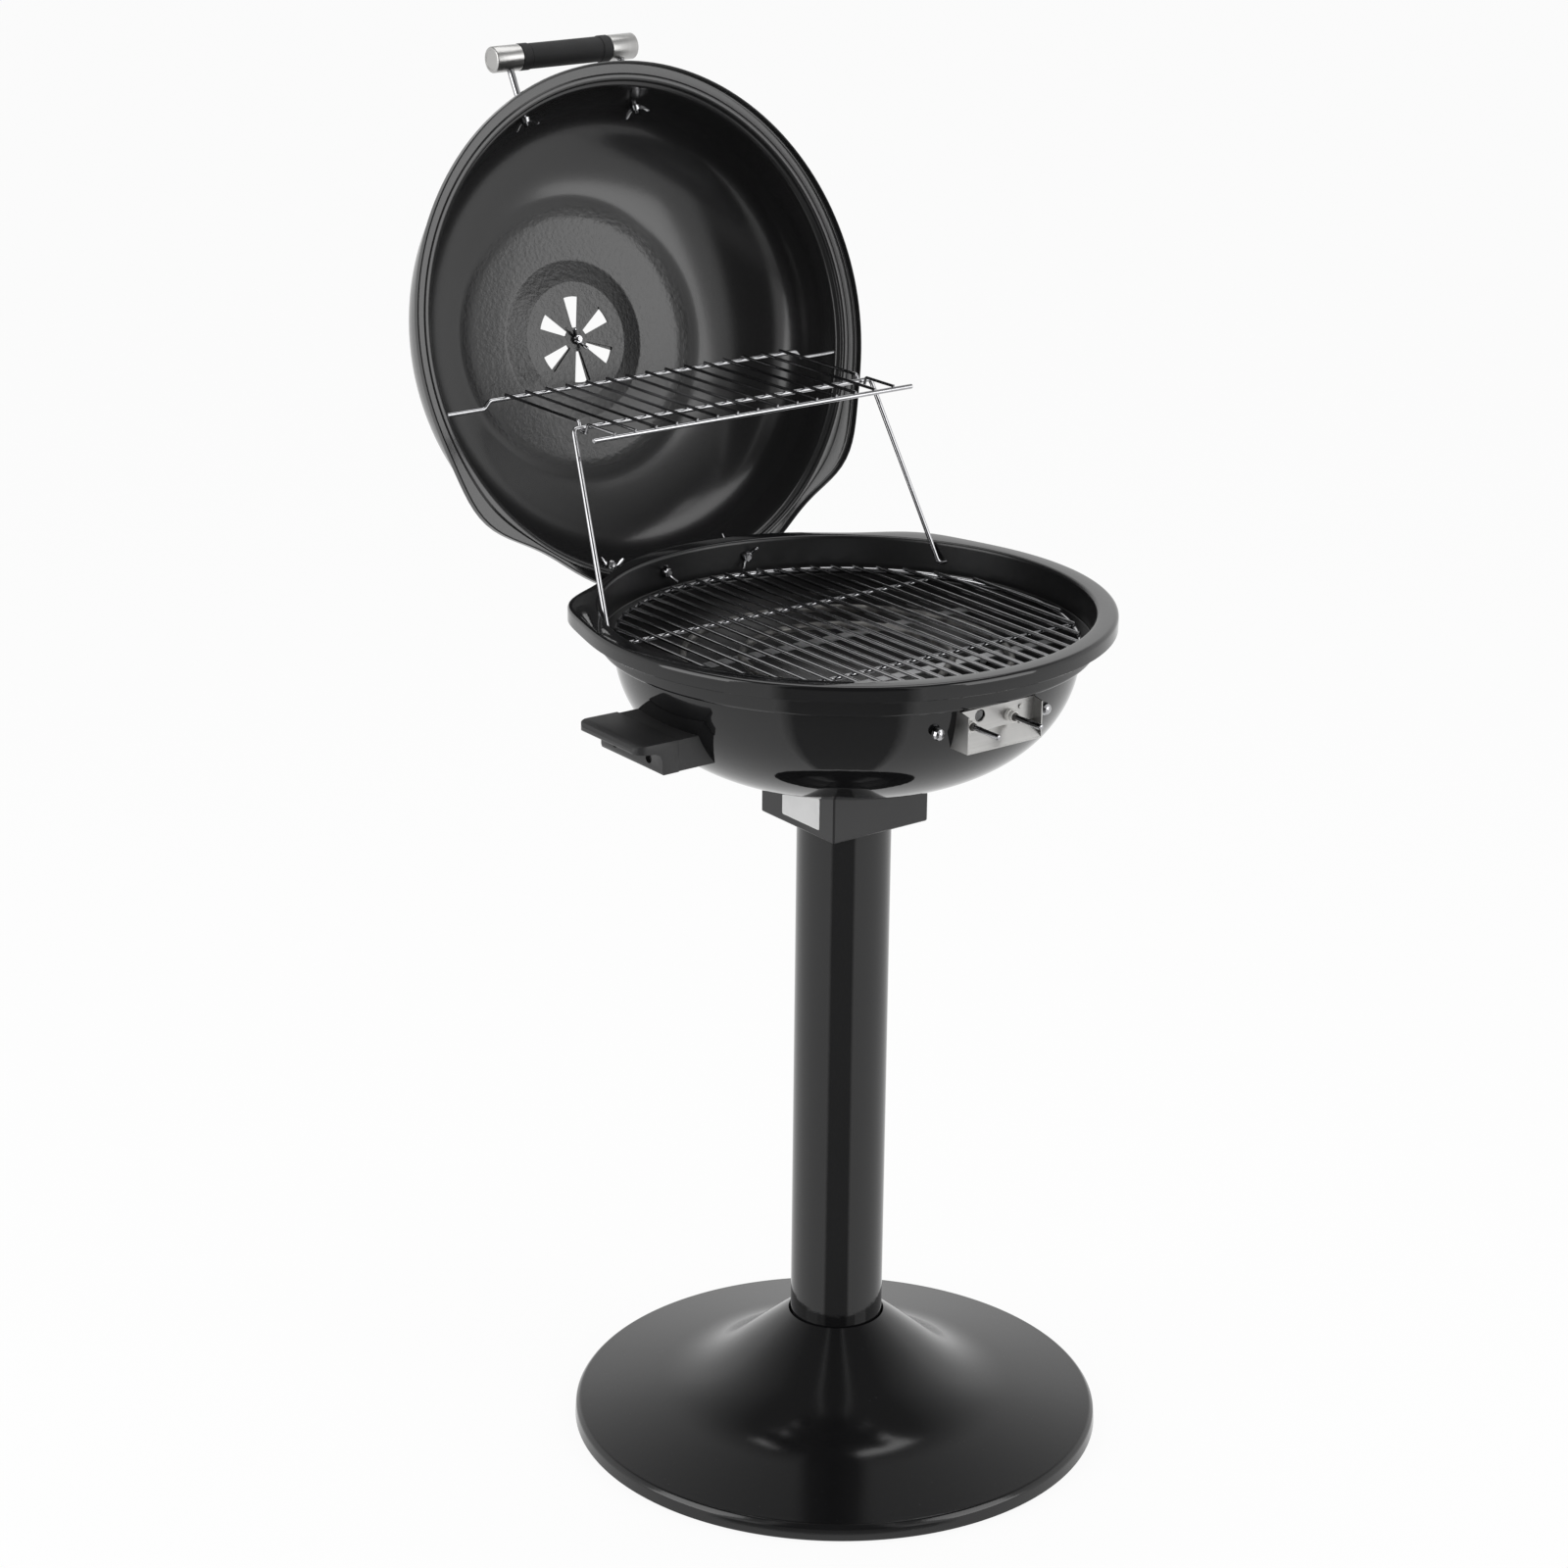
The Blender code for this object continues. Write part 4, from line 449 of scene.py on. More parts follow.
def bowl_line():
    chain = []
    for step in range(57):
        angle = math.pi / 2 * step / 56
        radius = BOWL_RADIUS * math.sin(angle) ** (2 / BOWL_SIDE_POWER)
        chain.append((radius, LEDGE_Z - BOWL_DEPTH * max(math.cos(angle), 0.0) ** (2 / BOWL_BOTTOM_POWER)))
    rim_middle, top = RIM_RADIUS - SHEET / 2, RIM_Z - SHEET / 2
    upper = [chain[-1], (LEDGE_OUTER, LEDGE_Z + 0.0003), (LEDGE_OUTER, top), (rim_middle, top),
             (rim_middle, RIM_Z - RIM_SKIRT)]
    bends = [0.0022, 0.0028, 0.0030, 0.0034]
    return chain[:-2] + [tuple(p) for p in rounded([chain[-2]] + upper, bends, 5)][1:]


def lid_top(radius):
    return LID_RIM_Z + LID_DEPTH * (1 - (radius / LID_WALL_RADIUS) ** LID_POWER) ** (1 / LID_POWER)


def lid_floor():
    return lid_top(VENT_RADIUS) + LID_STEP - VENT_RECESS


def lid_line():
    """Middle line of the lid's sheet: vent floor, cone round it, raised crown, step, wall and flange."""
    inner, outer = LID_STEP_RADIUS - 0.014, LID_STEP_RADIUS + 0.012
    flat = VENT_CONE + 0.008
    crown = [(0, lid_floor()), (VENT_RADIUS + 0.003, lid_floor())]
    crown += [(radius, lid_top(radius) + LID_STEP) for radius in (VENT_CONE, flat)]
    chain = [tuple(p) for p in rounded(crown, [0.007, 0.010], 6)]
    for step in range(1, 9):
        radius = flat + (inner - flat) * step / 8
        chain.append((radius, lid_top(radius) + LID_STEP))
    for step in range(1, 13):
        t = step / 13
        fall = 1 - (1 - t) ** 2 * (1 + 2 * t)
        radius = inner + (outer - inner) * t
        chain.append((radius, lid_top(radius) + LID_STEP * (1 - fall)))
    start = math.asin((outer / LID_WALL_RADIUS) ** (LID_POWER / 2))
    for step in range(48):
        angle = start + (math.radians(88.6) - start) * step / 47
        chain.append((LID_WALL_RADIUS * math.sin(angle) ** (2 / LID_POWER),
                      LID_RIM_Z + LID_DEPTH * math.cos(angle) ** (2 / LID_POWER)))
    edge, middle = LID_WALL_RADIUS, RIM_RADIUS + LID_OVERLAP - SHEET / 2
    flange = LID_RIM_Z + SHEET / 2
    foot = [chain[-1], (edge + 0.0004, LID_RIM_Z + 0.0062), (edge + 0.0040, LID_RIM_Z + 0.0040),
            (edge + 0.0052, flange), (edge + 0.0066, flange - 0.0009), (edge + 0.0090, flange - 0.0009),
            (edge + 0.0106, flange), (middle, flange), (middle, LID_RIM_Z - LID_SKIRT)]
    bends = [0.004, 0.002, 0.002, 0.001, 0.001, 0.001, 0.0026]
    return chain[:-1] + [tuple(p) for p in rounded(foot, bends, 4)]


def bump_of(angle, centre, size, spread):
    return size * math.exp(-((angle - centre) / spread) ** 2)


def shape_rim(bm, inner, outer):
    """Give the flange of the bowl or the lid its outline, with two ears and two necks at the back."""
    for vert in bm.verts:
        radius = math.hypot(vert.co.x, vert.co.y)
        if radius <= inner:
            continue
        share = min((radius - inner) / (outer - inner), 1.0)
        angle = math.degrees(math.atan2(vert.co.y, abs(vert.co.x)))
        grown = radius + share * (bump_of(angle, 37.0, 0.0115, 11.0) - bump_of(angle, 51.0, 0.0095, 14.0))
        vert.co.x *= grown / radius
        vert.co.y *= grown / radius


# Mesh makers
def lathe(profile, steps=160, loop=True):
    """Turn a profile of (radius, height) points about the Z axis."""
    bm = bmesh.new()
    rings = []
    turns = [2 * math.pi * k / steps for k in range(steps)]
    for radius, height in profile:
        if radius < 1e-7:
            rings.append([bm.verts.new((0, 0, height))])
            continue
        rings.append([bm.verts.new((radius * math.cos(a), radius * math.sin(a), height)) for a in turns])
    pairs = list(zip(rings, rings[1:]))
    if loop and len(rings[0]) > 1 and len(rings[-1]) > 1:
        pairs.append((rings[-1], rings[0]))
    for low, high in pairs:
        for k in range(steps):
            after = (k + 1) % steps
            places = ((low, k), (low, after), (high, after), (high, k))
            face = list(dict.fromkeys(ring[place % len(ring)] for ring, place in places))
            if len(face) > 2:
                bm.faces.new(face)
    return bm


def tube(points, radius, sides=12, closed=False):
    """Round wire along a path, with rounded ends."""
    bm = bmesh.new()
    points = [Vector(p) for p in points]
    count = len(points)
    tangents = []
    for k in range(count):
        before = points[k - 1] if k or closed else points[k]
        after = points[(k + 1) % count] if k < count - 1 or closed else points[k]
        tangents.append((after - before).normalized())
    side = tangents[0].orthogonal().normalized()
    stations = []
    for k in range(count):
        side = (side - tangents[k] * side.dot(tangents[k])).normalized()
        stations.append((points[k], tangents[k], side, radius))
    if not closed:
        first, last = stations[0], stations[-1]
        stations = ([(first[0] - first[1] * radius * 0.35, first[1], first[2], radius * 0.62)] + stations
                    + [(last[0] + last[1] * radius * 0.35, last[1], last[2], radius * 0.62)])
    rings = []
    for centre, tangent, side, reach in stations:
        other = tangent.cross(side)
        rings.append([bm.verts.new(centre + (side * math.cos(a) + other * math.sin(a)) * reach)
                      for a in (2 * math.pi * s / sides for s in range(sides))])
    pairs = list(zip(rings, rings[1:]))
    if closed:
        pairs.append((rings[-1], rings[0]))
    else:
        bm.faces.new(rings[0])
        bm.faces.new(rings[-1])
    for low, high in pairs:
        shift = 0
        if closed and low is rings[-1]:
            shift = min(range(sides), key=lambda s: (low[0].co - high[s].co).length)
        for s in range(sides):
            after = (s + 1) % sides
            bm.faces.new((low[s], low[after], high[(after + shift) % sides], high[(s + shift) % sides]))
    return bm


def slab(outline, low, high, axis):
    """Extrude a closed outline between two planes square to an axis."""
    bm = bmesh.new()
    places = {"X": lambda a, b: (low, a, b), "Y": lambda a, b: (a, low, b), "Z": lambda a, b: (a, b, low)}
    shift = {"X": (high - low, 0, 0), "Y": (0, high - low, 0), "Z": (0, 0, high - low)}
    face = bm.faces.new([bm.verts.new(places[axis](a, b)) for a, b in outline])
    grown = bmesh.ops.extrude_face_region(bm, geom=[face])
    moved = [item for item in grown["geom"] if isinstance(item, bmesh.types.BMVert)]
    bmesh.ops.translate(bm, verts=moved, vec=shift[axis])
    return bm


def joined(parts):
    whole = bmesh.new()
    for part in parts:
        mesh = bpy.data.meshes.new("part")
        part.to_mesh(mesh)
        part.free()
        whole.from_mesh(mesh)
        bpy.data.meshes.remove(mesh)
    return whole


def aimed(bm, place, direction, twist=0.0):
    """Move a mesh that was made along Z to a place and a direction."""
    turn = Vector((0, 0, 1)).rotation_difference(Vector(direction)).to_matrix().to_4x4()
    bm.transform(Matrix.Translation(Vector(place)) @ turn @ Matrix.Rotation(twist, 4, "Z"))
    return bm


def rod(start, end, radius, sides=24):
    start, end = Vector(start), Vector(end)
    bm = bmesh.new()
    turn = Vector((0, 0, 1)).rotation_difference(end - start).to_matrix().to_4x4()
    bmesh.ops.create_cone(bm, cap_ends=True, segments=sides, radius1=radius, radius2=radius,
                          depth=(end - start).length, matrix=Matrix.Translation((start + end) / 2) @ turn)
    return bm


def mesh_from(bm, name):
    bmesh.ops.remove_doubles(bm, verts=bm.verts, dist=1e-7)
    bmesh.ops.recalc_face_normals(bm, faces=bm.faces)
    mesh = bpy.data.meshes.new(name)
    bm.to_mesh(mesh)
    bm.free()
    return mesh


def cut(bm, cutters):
    """The mesh with the cutters taken out of it."""
    target = bpy.data.objects.new("blank", mesh_from(bm, "blank"))
    helper = bpy.data.objects.new("cutter", mesh_from(joined(cutters), "cutter"))
    for item in (target, helper):
        bpy.context.scene.collection.objects.link(item)
    modifier = target.modifiers.new("cut", "BOOLEAN")
    modifier.operation = "DIFFERENCE"
    modifier.solver = "EXACT"
    modifier.object = helper
    bpy.context.view_layer.update()
    result = bmesh.new()
    result.from_object(target, bpy.context.evaluated_depsgraph_get())
    for item in (target, helper):
        bpy.data.objects.remove(item, do_unlink=True)
    return result


def softened(bm, width, segments=3, angle=35.0):
    """Round off the edges that are sharper than an angle."""
    bmesh.ops.remove_doubles(bm, verts=bm.verts, dist=1e-7)
    sharp = [e for e in bm.edges if len(e.link_faces) == 2 and e.calc_face_angle() > math.radians(angle)]
    bmesh.ops.bevel(bm, geom=sharp, offset=width, segments=segments, profile=0.5, affect="EDGES",
                    clamp_overlap=True)
    return bm


def piece(name, bm, finish, body, nodes=(), lid=False, sharp=32.0):
    """Make an object that rides on a body and stands for some nodes."""
    if lid:
        bm.transform(OPEN_LID)
    mesh = mesh_from(bm, name)
    for polygon in mesh.polygons:
        polygon.use_smooth = True
    mesh.set_sharp_from_angle(angle=math.radians(sharp))
    mesh.materials.append(finish)
    made = bpy.data.objects.new(name, mesh)
    bpy.context.scene.collection.objects.link(made)
    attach(made, body)
    if nodes:
        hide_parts(*nodes)
    return made


# Stand
def base_line():
    """Middle line of the base cover: cone round the pole, bend, shallow dish, rounded edge and low wall."""
    edge, collar, steps = BASE_RADIUS - BASE_TAPER, POLE_RADIUS + 0.0013, 110
    inward, height = (edge - collar) / steps, BASE_EDGE
    dish = [(edge, height)]
    for step in range(steps):
        radius = edge - inward * (step + 0.5)
        bend = min(max((BASE_BEND_OUTER - radius) / (BASE_BEND_OUTER - BASE_BEND_INNER), 0.0), 1.0)
        share = bend * bend * (3 - 2 * bend)
        height += inward * (BASE_DISH_SLOPE + (BASE_CONE_SLOPE - BASE_DISH_SLOPE) * share)
        dish.append((edge - inward * (step + 1), height))
    lift = COLLAR_TOP - height
    chain = [(radius, z + lift * (k / steps) ** 4) for k, (radius, z) in enumerate(dish)][::-1]
    brow = [chain[-3], (edge + 0.0004, BASE_EDGE), (BASE_RADIUS - 0.0008, BASE_EDGE - 0.0034),
            (BASE_RADIUS, 0.0013)]
    return chain[:-3] + [tuple(p) for p in rounded(brow, [0.0030, 0.0040], 8)]


def make_stand(finishes):
    gloss, satin = finishes["gloss_black_enamel"], finishes["satin_black_paint"]
    piece("base_dish", lathe(sheet_loop(base_line(), 0.0020), 200), satin, "stand", ["base_cover"])
    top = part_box("pole")[1].z
    wall = [(POLE_RADIUS, 0.0066), (POLE_RADIUS, top - 0.0006), (POLE_RADIUS - 0.0006, top),
            (POLE_RADIUS - 0.0018, top), (POLE_RADIUS - 0.0018, 0.0066)]
    piece("pole_tube", lathe(wall, 160), gloss, "stand", ["pole"])


# Bowl
def make_bowl(finishes):
    bm = lathe(sheet_loop(bowl_line(), SHEET), 176)
    shape_rim(bm, LEDGE_OUTER + 0.006, RIM_RADIUS - SHEET)
    places = ((PIN_LEFT, PIN_Z, PIN_HOLE), (PIN_RIGHT, PIN_Z, PIN_HOLE), (PROBE_X, PROBE_Z, PROBE_HOLE))
    holes = [rod((x, -0.19, z), (x, -0.225, z), radius) for x, z, radius in places]
    piece("bowl_shell", cut(bm, holes), finishes["gloss_black_enamel"], "head", ["bowl"])


def make_side_handles(finishes):
    bottom, under = SIDE_TOP - SIDE_DROP, SIDE_TOP - 0.0085
    seam, web, half, corner = SIDE_SEAM, SIDE_SEAM + 0.0175, 0.0475, 0.012
    outline = [(seam, bottom), (web - 0.001, bottom), (web, bottom + 0.003), (web, under - 0.008),
               (web + 0.0025, under - 0.0025), (web + 0.008, under), (SIDE_REACH - 0.001, under + 0.0015),
               (SIDE_REACH, under + 0.003), (SIDE_REACH, SIDE_TOP - 0.003),
               (SIDE_REACH - 0.003, SIDE_TOP - 0.0002), (SIDE_REACH - 0.010, SIDE_TOP + 0.0005),
               (seam, SIDE_TOP)]
    for side, word in ((-1, "left"), (1, "right")):
        grip = slab([(side * x, z) for x, z in outline], -half, half, "Y")
        corners = []
        for end in (-1, 1):
            bend = [(SIDE_REACH + 0.01, end * (half + 0.01)), (SIDE_REACH + 0.01, end * (half - corner))]
            for step in range(13):
                angle = math.pi / 2 * step / 12
                bend.append((SIDE_REACH - corner * (1 - math.cos(angle)),
                             end * (half - corner * (1 - math.sin(angle)))))
            bend.append((SIDE_REACH - corner, end * (half + 0.01)))
            corners.append(slab([(side * x, y) for x, y in bend], bottom - 0.01, SIDE_TOP + 0.01, "Z"))
            mouth, deep = side * (web + 0.002), side * (web - SIDE_POCKET_DEPTH)
            place = (end * SIDE_SCREW_Y, SIDE_TOP - 0.66 * SIDE_DROP)
            corners.append(rod((mouth, *place), (deep, *place), SIDE_POCKET_RADIUS))
        grip = softened(cut(grip, corners), 0.0012, 3, 50.0)
        piece("side_grip_" + word, grip, finishes["black_plastic"], "head", ["side_handle_" + word])


# Lid
def sector(inner, outer, middle, spread, low, high):
    """Wedge about the Z axis, with an arc at its outer edge."""
    angles = [math.radians(middle + spread * (step / 8 - 0.5)) for step in range(9)]
    outline = [(outer * math.cos(a), outer * math.sin(a)) for a in angles]
    outline += [(inner * math.cos(a), inner * math.sin(a)) for a in (angles[-1], angles[0])]
    return slab(outline, low, high, "Z")


def make_lid(finishes):
    enamel = finishes["dark_grey_enamel"]
    floor = lid_floor()
    bm = lathe(sheet_loop(lid_line(), SHEET), 176)
    shape_rim(bm, LID_WALL_RADIUS + 0.0065, RIM_RADIUS + LID_OVERLAP - SHEET)
    slots = [sector(0.012, 0.042, 60 * k - 90, 25.0, floor - 0.005, floor + 0.005) for k in range(6)]
    piece("lid_shell", cut(bm, slots), enamel, "lid", ["lid"], lid=True)
    seat = floor + SHEET / 2 + 0.0003
    top = seat + 0.0012
    disc = lathe([(0, seat), (DAMPER_RADIUS - 0.0003, seat), (DAMPER_RADIUS, seat + 0.0003),
                  (DAMPER_RADIUS, top - 0.0003), (DAMPER_RADIUS - 0.0003, top), (0, top)], 96)
    slots = [sector(0.012, 0.042, 60 * k - 90 + 4.0, 25.0, seat - 0.002, top + 0.002) for k in range(6)]
    disc = cut(disc, slots)
    angle = math.radians(-56.0)
    tab_line = [(-0.008, seat + 0.0002), (0.008, seat + 0.0002), (0.008, top + 0.0095),
                (0.0035, top + 0.014), (-0.0035, top + 0.014), (-0.008, top + 0.0095)]
    tab = softened(slab(tab_line, -0.0012, 0.0012, "X"), 0.0004, 2, 50.0)
    place = Vector((math.cos(angle), math.sin(angle), 0)) * (DAMPER_RADIUS - 0.0022)
    tab.transform(Matrix.Translation(place) @ Matrix.Rotation(angle, 4, "Z"))
    piece("damper_disc", joined([disc, tab]), enamel, "damper", ["vent_damper"],
          lid=True)


def make_lid_handle(finishes):
    axis = Vector((0, -HANDLE_REACH, LID_RIM_Z + HANDLE_RISE))
    grip_half, radius, core = 0.051, 0.0125, 0.0053
    outer, inner = radius + 0.0004, radius - 0.0003
    profile = [(core, -grip_half), (outer - 0.0008, -grip_half), (outer, -grip_half + 0.0008),
               (outer, -0.0414), (outer - 0.0004, -0.0409), (inner - 0.0004, -0.0405), (inner, -0.0400)]
    profile += [(r, -z) for r, z in reversed(profile)]
    grip = aimed(lathe(profile, 64), axis, (1, 0, 0))
    piece("handle_grip", grip, finishes["black_rubber"], "lid", ["lid_handle_grip"],
          lid=True)
    length = 0.081 - grip_half - 0.0003
    depth = length - 0.010
    cap = [(0, depth + 0.0006), (core, depth + 0.0006), (core, 0), (radius - 0.0004, 0), (radius, 0.0004),
           (radius, length - 0.0014), (radius - 0.0005, length - 0.0005), (radius - 0.0014, length),
           (radius - 0.0030, length), (radius - 0.0034, length - 0.0004), (0, length - 0.0004)]
    out = Vector((0, -math.cos(POST_TILT), math.sin(POST_TILT)))
    for side, word in ((-1, "left"), (1, "right")):
        start = axis + Vector((side * (grip_half + 0.0003), 0, 0))
        hole_place = axis + Vector((side * 0.0635, 0, 0))
        hole = rod(hole_place - out * core, hole_place - out * 0.02, 0.0037)
        turned_cap = cut(aimed(lathe(cap, 64), start, (side, 0, 0)), [hole])
        piece("handle_cap_" + word, turned_cap, finishes["turned_steel"], "lid", ["lid_handle_cap_" + word],
              lid=True)


# Wires
def make_main_grate(finishes):
    ring_z = LEDGE_Z + SHEET / 2 + GRATE_RING_WIRE + 0.0003
    ring = [(GRATE_RADIUS * math.cos(a), GRATE_RADIUS * math.sin(a), ring_z)
            for a in (2 * math.pi * k / 144 for k in range(144))]
    parts = [tube(ring, GRATE_RING_WIRE, 14, closed=True)]
    height = ring_z + GRATE_RING_WIRE + GRATE_WIRE - 0.0010
    for index in range(25):
        x = (index - 12) * GRATE_GAP
        reach = math.sqrt(GRATE_RADIUS ** 2 - x ** 2) - 0.0002
        parts.append(tube([(x, -reach, height), (x, 0, height), (x, reach, height)], GRATE_WIRE, 12))
    cross = height - GRATE_WIRE - GRATE_RING_WIRE + 0.0007
    reach = math.sqrt(GRATE_RADIUS ** 2 - GRATE_CROSS_Y ** 2)
    for y in (-GRATE_CROSS_Y, GRATE_CROSS_Y):
        parts.append(tube([(-reach, y, cross), (0, y, cross), (reach, y, cross)], GRATE_CROSS_WIRE, 12))
    piece("main_grate_wires", joined(parts), finishes["chrome_wire"], "grate", ["main_grate"])


def make_rack(finishes):
    chrome = finishes["chrome_wire"]
    rod_z = RACK_WIRE_Z - RACK_WIRE - RACK_ROD + 0.0005
    y, z = RACK_PIVOT
    end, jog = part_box("warming_rack")[1].x, RACK_SPAN / 2 + 0.018
    path = [(-end, y, z), (-jog - 0.006, y, z), (-jog, y, rod_z), (jog, y, rod_z), (jog + 0.006, y, z),
            (end, y, z)]
    front = y - RACK_DEPTH
    parts = [tube(rounded(path, 0.006, 5), RACK_ROD, 14),
             tube([(-0.182, front, rod_z), (0, front, rod_z), (0.182, front, rod_z)], RACK_ROD, 14)]
    swing = RACK_ROD + RACK_WIRE + 0.0006
    hook_y, hook_z = CROSSBAR
    for index in range(15):
        x = (index / 14 - 0.5) * RACK_SPAN
        start, stop = (x, y + 0.0008, RACK_WIRE_Z), (x, front - 0.0008, RACK_WIRE_Z)
        line = [start, (x, (y + front) / 2, RACK_WIRE_Z), stop]
        if index in (0, 14):
            dip = hook_z - swing
            line = rounded([start, (x, hook_y + swing + 0.003, RACK_WIRE_Z), (x, hook_y + swing, dip),
                            (x, hook_y - swing, dip), (x, hook_y - swing - 0.003, RACK_WIRE_Z), stop],
                           0.0022, 4)
        parts.append(tube(line, RACK_WIRE, 12))
    piece("rack_wires", joined(parts), chrome, "rack", ["warming_rack"])
    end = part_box("rack_bail")[1].x
    foot, half = end - 0.0145, RACK_SPAN / 2 + 0.011
    path = [(-end, *BAIL_FOOT), (-foot, *BAIL_FOOT), (-half, *CROSSBAR), (half, *CROSSBAR),
            (foot, *BAIL_FOOT), (end, *BAIL_FOOT)]
    piece("bail_wire", tube(rounded(path, 0.005, 7), RACK_ROD, 14), chrome, "bail", ["rack_bail"])


# Inside the bowl
def arc(radius, start, end, steps, z):
    angles = [math.radians(start + (end - start) * k / steps) for k in range(steps + 1)]
    return [Vector((radius * math.cos(a), radius * math.sin(a), z)) for a in angles]


def make_element(finishes):
    """Tubular element: an outer and an inner loop that end in two terminal pins."""
    z, outer_radius, inner_radius, turned = PIN_Z, 0.150, 0.096, 232
    step_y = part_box("terminal_bushing_left")[0].y - 0.0016
    outer = arc(outer_radius, -68, turned, 72, z)
    inner = arc(inner_radius, turned, -48, 54, z)
    middle = (outer[-1] + inner[0]) / 2
    bend = (outer_radius - inner_radius) / 2
    ahead = Vector((-math.sin(math.radians(turned)), math.cos(math.radians(turned)), 0))
    outward = (outer[-1] - middle).normalized()
    turn = [middle + outward * bend * math.cos(a) + ahead * bend * math.sin(a)
            for a in (math.pi * k / 18 for k in range(1, 18))]
    right = [(PIN_RIGHT, -0.190, z), (PIN_RIGHT, -outer_radius - 0.014, z)]
    left = [(PIN_LEFT, -inner_radius - 0.034, z), (PIN_LEFT, -0.190, z)]
    entry = rounded([right[0], right[1], outer[0]], 0.012, 8)
    leave = rounded([inner[-1], (0.022, -inner_radius - 0.008, z), left[0], left[1]], 0.014, 8)
    path = [Vector((PIN_RIGHT, step_y, z))] + entry[:-1] + outer + turn + inner + leave[1:]
    path.append(Vector((PIN_LEFT, step_y, z)))
    piece("element_tube", tube(path, 0.0036, 16), finishes["element_sheath"], "head", ["heating_element"])
    root = step_y + 0.004
    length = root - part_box("heating_element")[0].y
    profile = [(0, 0), (PIN_RADIUS, 0), (PIN_RADIUS, length - 0.0012), (0.0020, length - 0.0003),
               (0.0012, length), (0, length)]
    for x, word in ((PIN_LEFT, "left"), (PIN_RIGHT, "right")):
        piece("terminal_pin_" + word, aimed(lathe(profile, 32), (x, root, z), (0, -1, 0)),
              finishes["chrome_wire"], "head", ())


def make_drip_pan(finishes):
    low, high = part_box("drip_pan")
    floor, rim = low.z + 0.0005, high.z - 0.0005
    outer, rise = high.x - 0.0002, rim - floor
    line = [(0, floor), (0.070, floor), (0.078, floor + 0.0002), (0.100, floor + rise * 0.20),
            (0.126, floor + rise * 0.52), (outer - 0.006, rim - 0.0010), (outer, rim)]
    chain = [tuple(p) for p in rounded(line, [0.02, 0.03, 0.06, 0.06, 0.01], 6)]
    piece("drip_pan_dish", lathe(sheet_loop(chain, 0.0010), 128), finishes["aluminium_pan"], "head",
          ["drip_pan"])


# Wing nuts
def wing_nut():
    """Pressed wing nut along +Z, with its seat at height zero."""
    body = [(0.0028, 0), (0.0049, 0), (0.0052, 0.0004), (0.0047, 0.0034), (0.0042, 0.0046),
            (0.0036, 0.0050), (0.0028, 0.0050)]
    parts = [lathe(body, 32)]
    for side in (-1, 1):
        line = [(0.0034, 0.0008), (0.0072, 0.0016), (0.0106, 0.0042), (0.0127, 0.0072), (0.0129, 0.0088),
                (0.0119, 0.0099), (0.0104, 0.0099), (0.0088, 0.0084), (0.0064, 0.0058), (0.0034, 0.0044)]
        wing = slab([(side * a, b) for a, b in line], -0.0010, 0.0010, "Y")
        parts.append(softened(wing, 0.0006, 3, 60.0))
    return joined(parts)


def radial(x, radius, side):
    return Vector((side * x / radius, math.sqrt(1 - (x / radius) ** 2), 0))


def seat_of(node, direction, lid):
    """Where a wing nut's seat lies: the far end of its node against the way its wings point."""
    turn = OPEN_LID.inverted() if lid else Matrix.Identity(4)
    spots = [turn @ v.co for v in frame["nodes"][node].data.vertices]
    low = min(spot.dot(direction) for spot in spots)
    near = [spot for spot in spots if spot.dot(direction) < low + 0.0002]
    return sum(near, Vector()) / len(near)


def make_wing_nuts(finishes):
    out = Vector((0, -math.cos(POST_TILT), math.sin(POST_TILT)))
    places = [("damper_wing_nut", Vector((0, 0, -1)), 0.5, True)]
    for side, word in ((-1, "left"), (1, "right")):
        inward = -radial(BOWL_HINGE_BOLT_X, LEDGE_OUTER, side)
        places.append(("bowl_hinge_wing_nut_" + word, inward, 0.7 * side, False))
        inward = -radial(LID_HINGE_BOLT_X, LID_WALL_RADIUS, side)
        places.append(("lid_hinge_wing_nut_" + word, inward, 0.7 * side, True))
        places.append(("lid_handle_wing_nut_" + word, -out, 0.9, True))
    for node, direction, twist, lid in places:
        nut = aimed(wing_nut(), seat_of(node, direction, lid), direction, twist)
        body = "lid" if lid else "head"
        piece(node + "_pressed", nut, finishes["chrome_wire"], body, [node], lid=lid)


def make_label(finishes):
    """Bare plate on the side of the box."""
    box_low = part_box("support_box")[0]
    x, bottom, corner = box_low.x, box_low.z + 0.0075, 0.0020
    low_y, high_y = box_low.y + 0.0210, box_low.y + 0.0770
    corners = [(low_y, bottom), (high_y, bottom), (high_y, bottom + 0.030), (low_y, bottom + 0.030)]
    outline = []
    for k, (y, z) in enumerate(corners):
        centre = (y + corner * (1 if k in (0, 3) else -1), z + corner * (1 if k in (0, 1) else -1))
        for step in range(5):
            a = math.radians(180 + 90 * k + 90 * step / 4)
            outline.append((centre[0] + corner * math.cos(a), centre[1] + corner * math.sin(a)))
    plate = slab(outline, x - 0.0004, x + 0.0002, "X")
    piece("label_plate", softened(plate, 0.00012, 2, 60.0), finishes["bare_label_foil"], "head")


